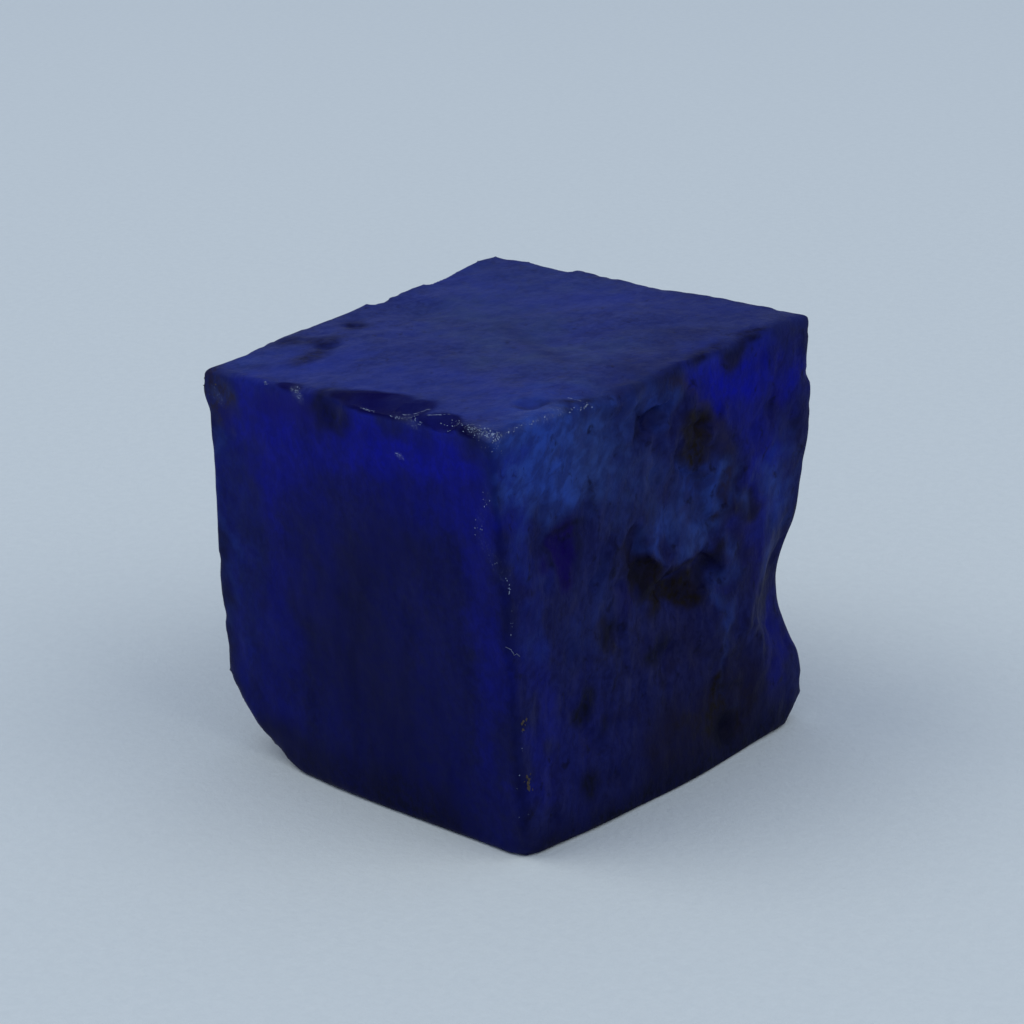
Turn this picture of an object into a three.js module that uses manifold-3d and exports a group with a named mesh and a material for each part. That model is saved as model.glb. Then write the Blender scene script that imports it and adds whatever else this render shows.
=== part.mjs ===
// A block of rough tanzanite: one natural crystal with the habit of a lopsided cube. Its edges are worn and
// flakes are struck from the rim of its top. Its right face is scooped and pitted, and its back right edge has
// a notch below half height. Cleavage ledges step down its left and back faces, and the front left corner of
// its foot is broken away. Millimetres, +Z up. The origin is on the plane of the foot, under the middle of the
// bounding box; -Y is the front and +X the right.
import * as THREE from "three";
import { mergeVertices } from "three/addons/utils/BufferGeometryUtils.js";
import Module from "manifold-3d";

const wasm = await Module();
wasm.setup();

// ---- Driving dimensions -------------------------------------------------------------------------

const EDGE = 25.2; // edge of the cube that the block is close to
const HALF = EDGE / 2;
const WEAR = 0.4; // radius of the worn edges
const CELLS = 18; // cells across a face, between its worn edges
const PEBBLE_CELL = 0.6; // aim for the size of a triangle on the pebbles that strike flakes off
const BREAK_CELL = 1.7; // aim for the size of a cell on a broken face
const BREAK_DEPTH = 4; // thickness of the slab that takes a broken piece away

// How far each corner stands from the cube's own corner.
const CORNER_SHIFT = {
  baseFrontLeft: [0.7, 0.3, 0],
  baseFrontRight: [-0.05, 0.1, 0],
  baseBackLeft: [0.2, -0.2, 0],
  baseBackRight: [-0.3, 0.1, 0],
  topFrontLeft: [0.7, 0.2, -1.25],
  topFrontRight: [-0.9, -0.7, -0.1],
  topBackLeft: [-0.2, -0.1, 0.1],
  topBackRight: [0.2, 0.3, 0.4],
};

// Height of the broad swell on each face, and the waves that it is made of: direction, wavelength and phase.
const SWELL = { left: 0.17, right: 0.13, front: 0.06, back: 0.17, base: 0, top: 0.07 };
const WAVES = [
  { along: [0.6, 0.6, 0.5], length: 15, phase: 0.4 },
  { along: [-0.6, 0.7, 0.35], length: 11, phase: 2.1 },
  { along: [0.7, 0.2, -0.7], length: 8.5, phase: 4.4 },
  { along: [0.15, -0.75, -0.65], length: 7, phase: 1.2 },
];

// Hollows and lumps: where each is, how far it reaches along X, Y and Z, and how far it moves the skin.
const DENTS = {
  notch: { at: [12.7, 13, 8.7], reach: [5.6, 5.6, 5.6], push: [-1.25, -1.25, 0] },
  notchUpperSlope: { at: [12.9, 13, 13], reach: [4.6, 5, 5.4], push: [-0.3, -0.3, 0] },
  rightScoop: { at: [12.4, 2.6, 17.2], reach: [3, 5.4, 5.6], push: [-0.85, 0, 0] },
  rightShelf: { at: [12.4, 0.6, 14.4], reach: [2.6, 4.4, 1.9], push: [0.3, 0, 0] },
  rightUnderShelf: { at: [12.4, 1, 11.4], reach: [2.6, 4.6, 2.8], push: [-0.5, 0, 0] },
  rightFootHollow: { at: [12.4, 4.7, 2.6], reach: [2.4, 2.6, 2.4], push: [-0.3, 0, 0] },
  rightFootSwell: { at: [12.3, 9.4, 4.4], reach: [2.6, 4, 3.4], push: [0.2, 0.05, 0] },
  rightFootBow: { at: [12.6, 1, 0], reach: [3, 12, 7], push: [0.75, 0, 0] },
  frontFootBow: { at: [0, -12.6, 0], reach: [11, 3, 7], push: [0, -0.35, 0] },
  topRimSag: { at: [13, -4.2, 25.2], reach: [4.5, 6.5, 3], push: [0.1, 0, -0.42] },
  topBasin: { at: [-7.9, 1.6, 24.9], reach: [2.8, 2.6, 2], push: [0, 0, -0.26] },
  topTrough: { at: [3.6, 1.6, 25.2], reach: [5.5, 2.6, 2], push: [0, 0, -0.16] },
  topKnob: { at: [-12.1, -12.4, 22.9], reach: [1.8, 2, 1.8], push: [-0.3, -0.12, 0] },
  leftHollow: { at: [-12.4, -4.5, 16], reach: [3.5, 6.5, 7.5], push: [0.55, 0, 0] },
  leftLump: { at: [-12.3, -7, 5.6], reach: [3, 4.6, 4.2], push: [-0.3, 0, 0] },
  backHollow: { at: [-4.5, 12.4, 9.5], reach: [6.5, 3.5, 6.5], push: [0, -0.6, 0] },
  backLump: { at: [6.4, 12.4, 5.4], reach: [4.4, 3, 4], push: [0, 0.35, 0] },
};

// Flakes and pits, as if struck out by an egg-shaped pebble: its middle, its half lengths, and its turn in
// degrees about X, Y and Z.
const FLAKES = {
  frontRimLong: { at: [0.8, -13.4, 25.2], half: [4, 3.2, 0.95], turn: [7, 0, 24] },
  frontRimBroad: { at: [4.3, -13, 25.5], half: [1.9, 3.6, 1.1], turn: [9, 0, -12] },
  frontRimSmall: { at: [-5.2, -13.3, 24.7], half: [1.9, 1.4, 0.7], turn: [14, 0, 6] },
  frontRimNick: { at: [7.4, -13.5, 25.1], half: [1.7, 1.7, 0.75], turn: [10, 0, -14] },
  frontFaceFlake: { at: [-0.9, -15.5, 23.2], half: [2.6, 2.7, 2.7], turn: [0, 0, 0] },
  crushedCorner: { at: [11.5, -14.1, 25.9], half: [1.8, 1.6, 1.6], turn: [0, 20, 0] },
  cornerSplinter: { at: [9.7, -14, 25.3], half: [1.4, 1.1, 1], turn: [0, 0, 10] },
  topNick: { at: [10.1, -8.5, 25.6], half: [1.3, 1, 0.8], turn: [0, 0, 25] },
  rightRimChip: { at: [12.9, -6.8, 25.6], half: [1.3, 1.9, 1], turn: [0, -15, 6] },
  rightRimNick: { at: [12.9, -4.2, 25.2], half: [1, 1.4, 0.8], turn: [0, -20, -8] },
  rightRimScar: { at: [14.1, 5.8, 25.6], half: [1.9, 3.6, 1.9], turn: [0, -10, 8] },
  frontEdgeHigh: { at: [13, -13.9, 18.6], half: [1.2, 1.2, 2.2], turn: [0, 0, 0] },
  frontEdgeMiddle: { at: [13.4, -13.5, 13.6], half: [1.2, 1.2, 1.6], turn: [0, 6, 0] },
  frontEdgeLow: { at: [13.5, -13.4, 9.4], half: [1.2, 1.1, 2.3], turn: [8, 0, 0] },
  frontEdgeFoot: { at: [13.6, -13.3, 4.6], half: [1.2, 1.1, 1.6], turn: [0, 0, 0] },
  violetPit: { at: [13.45, -8.2, 17.5], half: [1.8, 1.7, 2.5], turn: [10, 0, 0] },
  violetPitLobe: { at: [13.05, -9.7, 16.8], half: [1.3, 1.2, 1.3], turn: [0, 0, 0] },
  violetPitFoot: { at: [12.95, -8.3, 15.5], half: [1.1, 0.9, 1.1], turn: [0, 0, 0] },
  shelfPocket: { at: [13.15, 1, 11.7], half: [1.8, 2.2, 1.7], turn: [-16, 0, 0] },
  shelfPocketEnd: { at: [13.05, 3.5, 12.3], half: [1.6, 2, 1.2], turn: [-24, 0, 0] },
  shelfPocketHigh: { at: [13.15, -2.6, 15.6], half: [1.4, 1.2, 2], turn: [8, 0, 0] },
  shelfPocketLow: { at: [13.05, -2.2, 13.5], half: [1.4, 1.4, 1.7], turn: [0, 0, 0] },
  rightGouge: { at: [13.25, -0.6, 22.7], half: [1.5, 2.2, 0.8], turn: [28, 0, 0] },
  rightGougeEnd: { at: [13.15, -2.2, 22], half: [1.4, 1.5, 0.8], turn: [34, 0, 0] },
  rightPitFoot: { at: [13.6, 4.9, 2.2], half: [1.5, 1, 1.7], turn: [-14, 0, 0] },
  rightPitLow: { at: [13.25, -7.3, 7.2], half: [1.25, 0.85, 1.6], turn: [-14, 0, 0] },
  rightPitMiddle: { at: [13.3, -0.5, 6.9], half: [1.3, 1.3, 1.1], turn: [0, 0, 0] },
  rightPitHigh: { at: [13.3, -4.6, 10.3], half: [1.3, 1, 1], turn: [0, 0, 0] },
  topHookRidge: { at: [-10, -5.9, 25.5], half: [2.1, 1.2, 1.2], turn: [0, 0, 32] },
  topHookTip: { at: [-8.4, -6.9, 25.5], half: [1.2, 2.2, 1.2], turn: [0, 0, -28] },
  topPit: { at: [-9.7, -2.6, 25.7], half: [1.8, 1.1, 1.3], turn: [0, 0, 30] },
  topPitSmall: { at: [-11.9, 1.9, 25.8], half: [1.5, 1, 1.3], turn: [0, 0, 20] },
  backFootScar: { at: [-6.5, 19, -4], half: [8.5, 8, 12], turn: [0, 6, 0] },
  backPit: { at: [-8.4, 15.2, 20.4], half: [3.2, 3.4, 3], turn: [0, 0, 0] },
  leftBackEdgeNick: { at: [-15.6, 15.6, 6.4], half: [5, 4.4, 4.6], turn: [0, 0, 0] },
  leftFootScar: { at: [-17.8, 4, -4], half: [6.8, 8, 12], turn: [4, 0, 0] },
  backLeftEdgeScar: { at: [-16.9, 17.3, 17], half: [7, 7, 8.6], turn: [5, -4, 0] },
};

// Pieces broken away along a flat face of fracture: a point on the face, the way that it faces, the way that
// its length runs, and half its length and width. A shallow one leaves a ledge.
const BREAKS = {
  footCorner: { at: [-10.15, -11.6, 2.3], facing: [-0.74, -0.26, -0.62], along: [0, 1, 0], half: [14, 8] },
  footCornerUnder: { at: [-8.4, -11.9, 0.45], facing: [-0.34, -0.3, -0.89], along: [0, 1, 0], half: [8, 8] },
  topBackCorner: { at: [-12, 12.15, 24.8], facing: [-0.5, 0.55, 0.67], along: [0, 0, 1], half: [4, 4] },
  backFootCorner: { at: [11.95, 12.3, 1.1], facing: [0.6, 0.62, -0.5], along: [0, 0, 1], half: [4, 4] },
  leftLedge: { at: [-12.02, 7.4, 15], facing: [-1, -0.016, 0.03], along: [0, 0.09, 1], half: [11.2, 7.2] },
  leftLedgeInner: { at: [-11.72, 10.6, 18], facing: [-1, -0.05, 0.02], along: [0, -0.12, 1], half: [9, 4.2] },
  backLedge: { at: [-9.4, 12.1, 16], facing: [0.02, 1, 0.02], along: [0.07, 0, 1], half: [10.6, 3.6] },
};

// ---- Shared shape functions ---------------------------------------------------------------------

const vector = (xyz) => new THREE.Vector3(...xyz);

// The swell at a point, between about -1 and 1.
function swellAt(point) {
  let height = 0;
  for (const wave of WAVES) {
    const step = (2 * Math.PI) / wave.length;
    height += Math.sin(step * point.dot(vector(wave.along).normalize()) + wave.phase);
  }
  return height / Math.sqrt(WAVES.length);
}

// 1 at the middle of a dent, falling smoothly to 0 at its reach.
function bell(point, dent) {
  const away = point.clone().sub(vector(dent.at)).divide(vector(dent.reach)).length();
  return away < 1 ? (1 - away * away) ** 2 : 0;
}

// Triangles as a solid that manifold-3d can join and cut.
function solidOf(geometry) {
  geometry.deleteAttribute("normal");
  geometry.deleteAttribute("uv");
  const merged = mergeVertices(geometry, 1e-4);
  return new wasm.Manifold(
    new wasm.Mesh({
      numProp: 3,
      vertProperties: new Float32Array(merged.attributes.position.array),
      triVerts: new Uint32Array(merged.index.array),
    }),
  );
}

// ---- The block, before anything is struck off it ------------------------------------------------

// Where the grid lines lie along each side of the unit cube: close together where the edge is worn round.
function gridLines() {
  const worn = WEAR / EDGE;
  const lines = [0, worn / 2];
  for (let i = 0; i <= CELLS; i++) lines.push(worn + ((1 - 2 * worn) * i) / CELLS);
  lines.push(1 - worn / 2, 1);
  return lines;
}

// The point of the unit cube's surface, with its edges worn round, and the way that the surface faces there.
function wornPoint(unit) {
  const worn = WEAR / EDGE;
  const inner = unit.clone().clampScalar(worn, 1 - worn);
  const facing = unit.clone().sub(inner).normalize();
  return { at: inner.addScaledVector(facing, worn), facing };
}

// A point of the unit cube carried into the lopsided block.
function intoBlock(unit) {
  const placed = new THREE.Vector3();
  for (const [name, shift] of Object.entries(CORNER_SHIFT)) {
    const right = name.endsWith("Right");
    const back = name.includes("Back");
    const top = name.startsWith("top");
    const corner = new THREE.Vector3(right ? HALF : -HALF, back ? HALF : -HALF, top ? EDGE : 0);
    const share = (right ? unit.x : 1 - unit.x) * (back ? unit.y : 1 - unit.y) * (top ? unit.z : 1 - unit.z);
    placed.addScaledVector(corner.add(vector(shift)), share);
  }
  return placed;
}

// The swell's height where the surface faces a given way: the faces' own heights, blended round the edges.
function swellHeight(facing) {
  const { x, y, z } = facing;
  return (
    x * x * (x > 0 ? SWELL.right : SWELL.left) +
    y * y * (y > 0 ? SWELL.back : SWELL.front) +
    z * z * (z > 0 ? SWELL.top : SWELL.base)
  );
}

// A point of the unit cube's surface, worn, carried into the block, swelled and dented. The foot stays on the
// floor.
function skinPoint(unit) {
  const { at, facing } = wornPoint(unit);
  const point = intoBlock(at);
  point.addScaledVector(facing, swellHeight(facing) * swellAt(point));
  const moved = point.clone();
  for (const dent of Object.values(DENTS)) moved.addScaledVector(vector(dent.push), bell(point, dent));
  moved.z = Math.max(moved.z, 0);
  return moved;
}

// How far the middle of the line from p to q is from a point.
const missBy = (p, q, point) => p.clone().add(q).multiplyScalar(0.5).distanceTo(point);

// The six faces of the unit cube as grids that share their edge points. Each cell is split along the diagonal
// that lies nearer to the skin at its middle.
function blockGeometry() {
  const lines = gridLines();
  const corners = [];
  for (const axis of [0, 1, 2]) {
    for (const side of [0, 1]) {
      const onFace = (u, v) => {
        const unit = [0, 0, 0];
        unit[axis] = side;
        unit[(axis + 1) % 3] = u;
        unit[(axis + 2) % 3] = v;
        return skinPoint(vector(unit));
      };
      for (let i = 0; i + 1 < lines.length; i++) {
        for (let j = 0; j + 1 < lines.length; j++) {
          const [u0, u1, v0, v1] = [lines[i], lines[i + 1], lines[j], lines[j + 1]];
          const [a, b, c, d] = [onFace(u0, v0), onFace(u1, v0), onFace(u1, v1), onFace(u0, v1)];
          const middle = onFace((u0 + u1) / 2, (v0 + v1) / 2);
          const nearerAC = missBy(a, c, middle) <= missBy(b, d, middle);
          const split = nearerAC ? [a, b, c, a, c, d] : [a, b, d, b, c, d];
          corners.push(...(side ? split : split.reverse()));
        }
      }
    }
  }
  const positions = corners.flatMap((corner) => corner.toArray());
  return new THREE.BufferGeometry().setAttribute("position", new THREE.Float32BufferAttribute(positions, 3));
}

// ---- What is struck off -------------------------------------------------------------------------

// A lumpy egg-shaped pebble. Its skin is rippled in rings about its outer end, as a shell-like fracture is.
function flakeGeometry({ at, half, turn }) {
  const ICOSAHEDRON_EDGE = 1.05;
  const LEAST_DETAIL = 2;
  const MOST_DETAIL = 12;
  const LUMP = 0.11;
  const LUMP_FINENESS = 4.5;
  const RIPPLE = 0.05;
  const RING = 1.6;
  const detail = THREE.MathUtils.clamp(
    Math.round((ICOSAHEDRON_EDGE * Math.max(...half)) / PEBBLE_CELL),
    LEAST_DETAIL,
    MOST_DETAIL,
  );
  const turned = new THREE.Euler(...turn.map(THREE.MathUtils.degToRad));
  const pebble = new THREE.IcosahedronGeometry(1, detail)
    .scale(...half)
    .applyQuaternion(new THREE.Quaternion().setFromEuler(turned))
    .translate(...at);
  const middle = vector(at);
  const outerEnd = new THREE.Vector3(at[0], at[1], 0).setLength(Math.max(...half)).add(middle);
  const skin = pebble.attributes.position;
  for (let i = 0; i < skin.count; i++) {
    const point = new THREE.Vector3().fromBufferAttribute(skin, i);
    const lump = LUMP * swellAt(point.clone().multiplyScalar(LUMP_FINENESS));
    const ripple = RIPPLE * Math.sin((2 * Math.PI * point.distanceTo(outerEnd)) / RING);
    point.addScaledVector(point.clone().sub(middle).normalize(), lump + ripple);
    skin.setXYZ(i, point.x, point.y, point.z);
  }
  return pebble;
}

// A slab whose inner face is the face of fracture, gently uneven.
function breakGeometry({ at, facing, along, half }) {
  const UNEVEN = 0.08;
  const UNEVEN_FINENESS = 2;
  const [cellsAlong, cellsAcross] = half.map((side) => Math.round((2 * side) / BREAK_CELL));
  const slab = new THREE.BoxGeometry(2 * half[0], 2 * half[1], BREAK_DEPTH, cellsAlong, cellsAcross, 1);
  const outward = vector(facing).normalize();
  const across = outward.clone().cross(vector(along)).normalize();
  const turned = new THREE.Matrix4().makeBasis(across.clone().cross(outward), across, outward);
  slab.translate(0, 0, BREAK_DEPTH / 2).applyMatrix4(turned).translate(...at);
  const skin = slab.attributes.position;
  for (let i = 0; i < skin.count; i++) {
    const point = new THREE.Vector3().fromBufferAttribute(skin, i);
    point.addScaledVector(outward, -UNEVEN * swellAt(point.clone().multiplyScalar(UNEVEN_FINENESS)));
    skin.setXYZ(i, point.x, point.y, point.z);
  }
  return slab;
}

// ---- The finished crystal -----------------------------------------------------------------------

function crystalGeometry() {
  let crystal = solidOf(blockGeometry());
  for (const flake of Object.values(FLAKES)) crystal = crystal.subtract(solidOf(flakeGeometry(flake)));
  for (const face of Object.values(BREAKS)) crystal = crystal.subtract(solidOf(breakGeometry(face)));
  const { vertProperties, triVerts } = crystal.getMesh();
  const geometry = new THREE.BufferGeometry()
    .setAttribute("position", new THREE.BufferAttribute(vertProperties, 3))
    .setIndex(new THREE.BufferAttribute(triVerts, 1));
  geometry.computeBoundingBox();
  const middle = geometry.boundingBox.getCenter(new THREE.Vector3());
  return geometry.translate(-middle.x, -middle.y, -geometry.boundingBox.min.z);
}

const tanzanite = new THREE.MeshStandardMaterial({ color: 0x14176b, roughness: 0.38, metalness: 0 });
const crystal = new THREE.Mesh(crystalGeometry(), tanzanite);
crystal.name = "tanzanite_crystal";

const roughTanzanite = new THREE.Group();
roughTanzanite.name = "rough_tanzanite";
roughTanzanite.add(crystal);

export default roughTanzanite;
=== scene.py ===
"""A block of rough tanzanite, one natural crystal, lying on a pale floor under soft studio light.

The crystal is shaped again here at a fine scale, from the same worn cube, dents, flakes and breaks as its
solid, and then gets the small relief and the colours of its skin. Its shapes are worked out in millimetres,
and its mesh is made in metres.
"""

import math

import bpy
import numpy as np
from mathutils import Euler, Matrix, Vector, noise
from mathutils.bvhtree import BVHTree


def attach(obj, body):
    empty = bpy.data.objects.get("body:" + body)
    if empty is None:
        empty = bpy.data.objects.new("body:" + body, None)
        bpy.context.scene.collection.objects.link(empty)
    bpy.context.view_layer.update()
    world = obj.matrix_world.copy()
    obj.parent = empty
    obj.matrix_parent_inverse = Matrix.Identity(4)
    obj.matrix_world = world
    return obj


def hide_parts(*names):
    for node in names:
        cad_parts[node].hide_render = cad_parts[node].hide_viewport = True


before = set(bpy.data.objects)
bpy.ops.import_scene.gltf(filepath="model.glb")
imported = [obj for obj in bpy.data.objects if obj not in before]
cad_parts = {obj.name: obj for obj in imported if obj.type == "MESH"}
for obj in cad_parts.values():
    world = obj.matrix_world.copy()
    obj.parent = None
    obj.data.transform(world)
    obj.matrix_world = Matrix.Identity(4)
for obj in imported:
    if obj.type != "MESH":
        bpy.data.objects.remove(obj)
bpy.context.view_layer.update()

NODE = "tanzanite_crystal"
MM = 0.001

# ---- Driving dimensions, in millimetres and degrees ------------------------------------------------------

EDGE = 25.2  # edge of the cube that the block is close to
HALF = EDGE / 2
WEAR = 0.4  # radius of the worn edges
CELLS = 100  # cells across a face, between its worn edges
PEBBLE_CELL = 0.16  # aim for the size of a triangle on the pebbles that strike flakes off
BREAK_CELL = 0.3  # aim for the size of a cell on a broken face
BREAK_DEPTH = 4.0  # thickness of the slab that takes a broken piece away
FLAKE_SKIN = 1.08  # a flake's lumpy skin lies within this many half lengths of its middle
CLEAN_REACH = 1.2  # half lengths at which the look of a clean flake has faded out
SOFT_REACH = 1.35  # half lengths at which the smoothing of a soft flake has faded out
SMOOTHING = 0.6  # how far a round of smoothing moves a point to the middle of its neighbours
FLAT_FOOT = 0.02  # height up to which the foot isn't smoothed by wear
SOFT_ROUNDS = 20  # rounds of smoothing on the flakes that are worn soft
WORN_ROUNDS = 26  # rounds of smoothing on the worn corners and edges
SIDE_BLEND = 0.45  # how softly one side's colours and relief pass into the next side's
FOOT_FADE = 0.5  # height over which the small relief grows from nothing at the foot
WARP = 0.04  # strength of the warp that pushes the skin about
ROUGH_WARP = 0.55  # how much stronger the warp is where the skin is rough
GROOVE_TURN = -43  # turn about Z, in degrees, that brings the grooves on the top in line with X
ETCH_LEAN = 18  # turn about X, in degrees, that brings the etching upright
CHIP_REACH = 0.8  # how far in from an edge it is chipped
CREASE = 60  # degrees of turn from which an edge looks sharp

# How far each corner stands from the cube's own corner, by its side along X, Y and Z.
CORNER_SHIFT = {
    (0, 0, 0): (0.7, 0.3, 0),
    (1, 0, 0): (-0.05, 0.1, 0),
    (0, 1, 0): (0.2, -0.2, 0),
    (1, 1, 0): (-0.3, 0.1, 0),
    (0, 0, 1): (0.7, 0.2, -1.25),
    (1, 0, 1): (-0.9, -0.7, -0.1),
    (0, 1, 1): (-0.2, -0.1, 0.1),
    (1, 1, 1): (0.2, 0.3, 0.4),
}

# Height of the broad swell on the low and high side along X, Y and Z, and its waves: direction, wavelength
# and phase.
SWELL = ((0.17, 0.13), (0.06, 0.17), (0, 0.07))
WAVES = (
    ((0.6, 0.6, 0.5), 15, 0.4),
    ((-0.6, 0.7, 0.35), 11, 2.1),
    ((0.7, 0.2, -0.7), 8.5, 4.4),
    ((0.15, -0.75, -0.65), 7, 1.2),
)

# Hollows and lumps: where each is, how far it reaches along X, Y and Z, and how far it moves the skin.
DENTS = {
    "notch": ((12.7, 13, 8.7), (5.6, 5.6, 5.6), (-1.25, -1.25, 0)),
    "notch upper slope": ((12.9, 13, 13), (4.6, 5, 5.4), (-0.3, -0.3, 0)),
    "right scoop": ((12.4, 2.6, 17.2), (3, 5.4, 5.6), (-0.85, 0, 0)),
    "right shelf": ((12.4, 0.6, 14.4), (2.6, 4.4, 1.9), (0.3, 0, 0)),
    "right under shelf": ((12.4, 1, 11.4), (2.6, 4.6, 2.8), (-0.5, 0, 0)),
    "right foot hollow": ((12.4, 4.7, 2.6), (2.4, 2.6, 2.4), (-0.3, 0, 0)),
    "right foot swell": ((12.3, 9.4, 4.4), (2.6, 4, 3.4), (0.2, 0.05, 0)),
    "right foot bow": ((12.6, 1, 0), (3, 12, 7), (0.75, 0, 0)),
    "front foot bow": ((0, -12.6, 0), (11, 3, 7), (0, -0.35, 0)),
    "top rim sag": ((13, -4.2, 25.2), (4.5, 6.5, 3), (0.1, 0, -0.42)),
    "top basin": ((-7.9, 1.6, 24.9), (2.8, 2.6, 2), (0, 0, -0.26)),
    "top trough": ((3.6, 1.6, 25.2), (5.5, 2.6, 2), (0, 0, -0.16)),
    "top knob": ((-12.1, -12.4, 22.9), (1.8, 2, 1.8), (-0.3, -0.12, 0)),
    "left hollow": ((-12.4, -4.5, 16), (3.5, 6.5, 7.5), (0.55, 0, 0)),
    "left lump": ((-12.3, -7, 5.6), (3, 4.6, 4.2), (-0.3, 0, 0)),
    "back hollow": ((-4.5, 12.4, 9.5), (6.5, 3.5, 6.5), (0, -0.6, 0)),
    "back lump": ((6.4, 12.4, 5.4), (4.4, 3, 4), (0, 0.35, 0)),
}

# Flakes and pits, as if struck out by an egg-shaped pebble: its middle, its half lengths, and its turn in
# degrees about X, Y and Z.
FLAKES = {
    "front rim long": ((0.8, -13.4, 25.2), (4, 3.2, 0.95), (7, 0, 24)),
    "front rim broad": ((4.3, -13, 25.5), (1.9, 3.6, 1.1), (9, 0, -12)),
    "front rim small": ((-5.2, -13.3, 24.7), (1.9, 1.4, 0.7), (14, 0, 6)),
    "front rim nick": ((7.4, -13.5, 25.1), (1.7, 1.7, 0.75), (10, 0, -14)),
    "front face flake": ((-0.9, -15.5, 23.2), (2.6, 2.7, 2.7), (0, 0, 0)),
    "crushed corner": ((11.5, -14.1, 25.9), (1.8, 1.6, 1.6), (0, 20, 0)),
    "corner splinter": ((9.7, -14, 25.3), (1.4, 1.1, 1), (0, 0, 10)),
    "top nick": ((10.1, -8.5, 25.6), (1.3, 1, 0.8), (0, 0, 25)),
    "right rim chip": ((12.9, -6.8, 25.6), (1.3, 1.9, 1), (0, -15, 6)),
    "right rim nick": ((12.9, -4.2, 25.2), (1, 1.4, 0.8), (0, -20, -8)),
    "right rim scar": ((14.1, 5.8, 25.6), (1.9, 3.6, 1.9), (0, -10, 8)),
    "front edge high": ((13, -13.9, 18.6), (1.2, 1.2, 2.2), (0, 0, 0)),
    "front edge middle": ((13.4, -13.5, 13.6), (1.2, 1.2, 1.6), (0, 6, 0)),
    "front edge low": ((13.5, -13.4, 9.4), (1.2, 1.1, 2.3), (8, 0, 0)),
    "front edge foot": ((13.6, -13.3, 4.6), (1.2, 1.1, 1.6), (0, 0, 0)),
    "violet pit": ((13.45, -8.2, 17.5), (1.8, 1.7, 2.5), (10, 0, 0)),
    "violet pit lobe": ((13.05, -9.7, 16.8), (1.3, 1.2, 1.3), (0, 0, 0)),
    "violet pit foot": ((12.95, -8.3, 15.5), (1.1, 0.9, 1.1), (0, 0, 0)),
    "shelf pocket": ((13.15, 1, 11.7), (1.8, 2.2, 1.7), (-16, 0, 0)),
    "shelf pocket end": ((13.05, 3.5, 12.3), (1.6, 2, 1.2), (-24, 0, 0)),
    "shelf pocket high": ((13.15, -2.6, 15.6), (1.4, 1.2, 2), (8, 0, 0)),
    "shelf pocket low": ((13.05, -2.2, 13.5), (1.4, 1.4, 1.7), (0, 0, 0)),
    "right gouge": ((13.25, -0.6, 22.7), (1.5, 2.2, 0.8), (28, 0, 0)),
    "right gouge end": ((13.15, -2.2, 22), (1.4, 1.5, 0.8), (34, 0, 0)),
    "right pit foot": ((13.6, 4.9, 2.2), (1.5, 1, 1.7), (-14, 0, 0)),
    "right pit low": ((13.25, -7.3, 7.2), (1.25, 0.85, 1.6), (-14, 0, 0)),
    "right pit middle": ((13.3, -0.5, 6.9), (1.3, 1.3, 1.1), (0, 0, 0)),
    "right pit high": ((13.3, -4.6, 10.3), (1.3, 1, 1), (0, 0, 0)),
    "top hook ridge": ((-10, -5.9, 25.5), (2.1, 1.2, 1.2), (0, 0, 32)),
    "top hook tip": ((-8.4, -6.9, 25.5), (1.2, 2.2, 1.2), (0, 0, -28)),
    "top pit": ((-9.7, -2.6, 25.7), (1.8, 1.1, 1.3), (0, 0, 30)),
    "top pit small": ((-11.9, 1.9, 25.8), (1.5, 1, 1.3), (0, 0, 20)),
    "back foot scar": ((-6.5, 19, -4), (8.5, 8, 12), (0, 6, 0)),
    "back pit": ((-8.4, 15.2, 20.4), (3.2, 3.4, 3), (0, 0, 0)),
    "left back edge nick": ((-15.6, 15.6, 6.4), (5, 4.4, 4.6), (0, 0, 0)),
    "left foot scar": ((-17.8, 4, -4), (6.8, 8, 12), (4, 0, 0)),
    "back left edge scar": ((-16.9, 17.3, 17), (7, 7, 8.6), (5, -4, 0)),
}

# The clean ones along the rim, which keep sharp edges and get a colour of their own.
RIM_FLAKES = ("front rim long", "front rim broad", "front rim small", "front rim nick", "corner splinter")

# Pieces broken away along a flat face of fracture: a point on the face, the way that it faces, the way that
# its length runs, and half its length and width. A shallow one leaves a ledge.
BREAKS = {
    "foot corner": ((-10.15, -11.6, 2.3), (-0.74, -0.26, -0.62), (0, 1, 0), (14, 8)),
    "foot corner under": ((-8.4, -11.9, 0.45), (-0.34, -0.3, -0.89), (0, 1, 0), (8, 8)),
    "top back corner": ((-12, 12.15, 24.8), (-0.5, 0.55, 0.67), (0, 0, 1), (4, 4)),
    "back foot corner": ((11.95, 12.3, 1.1), (0.6, 0.62, -0.5), (0, 0, 1), (4, 4)),
    "left ledge": ((-12.02, 7.4, 15), (-1, -0.016, 0.03), (0, 0.09, 1), (11.2, 7.2)),
    "left ledge inner": ((-11.72, 10.6, 18), (-1, -0.05, 0.02), (0, -0.12, 1), (9, 4.2)),
    "back ledge": ((-9.4, 12.1, 16), (0.02, 1, 0.02), (0.07, 0, 1), (10.6, 3.6)),
}

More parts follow.
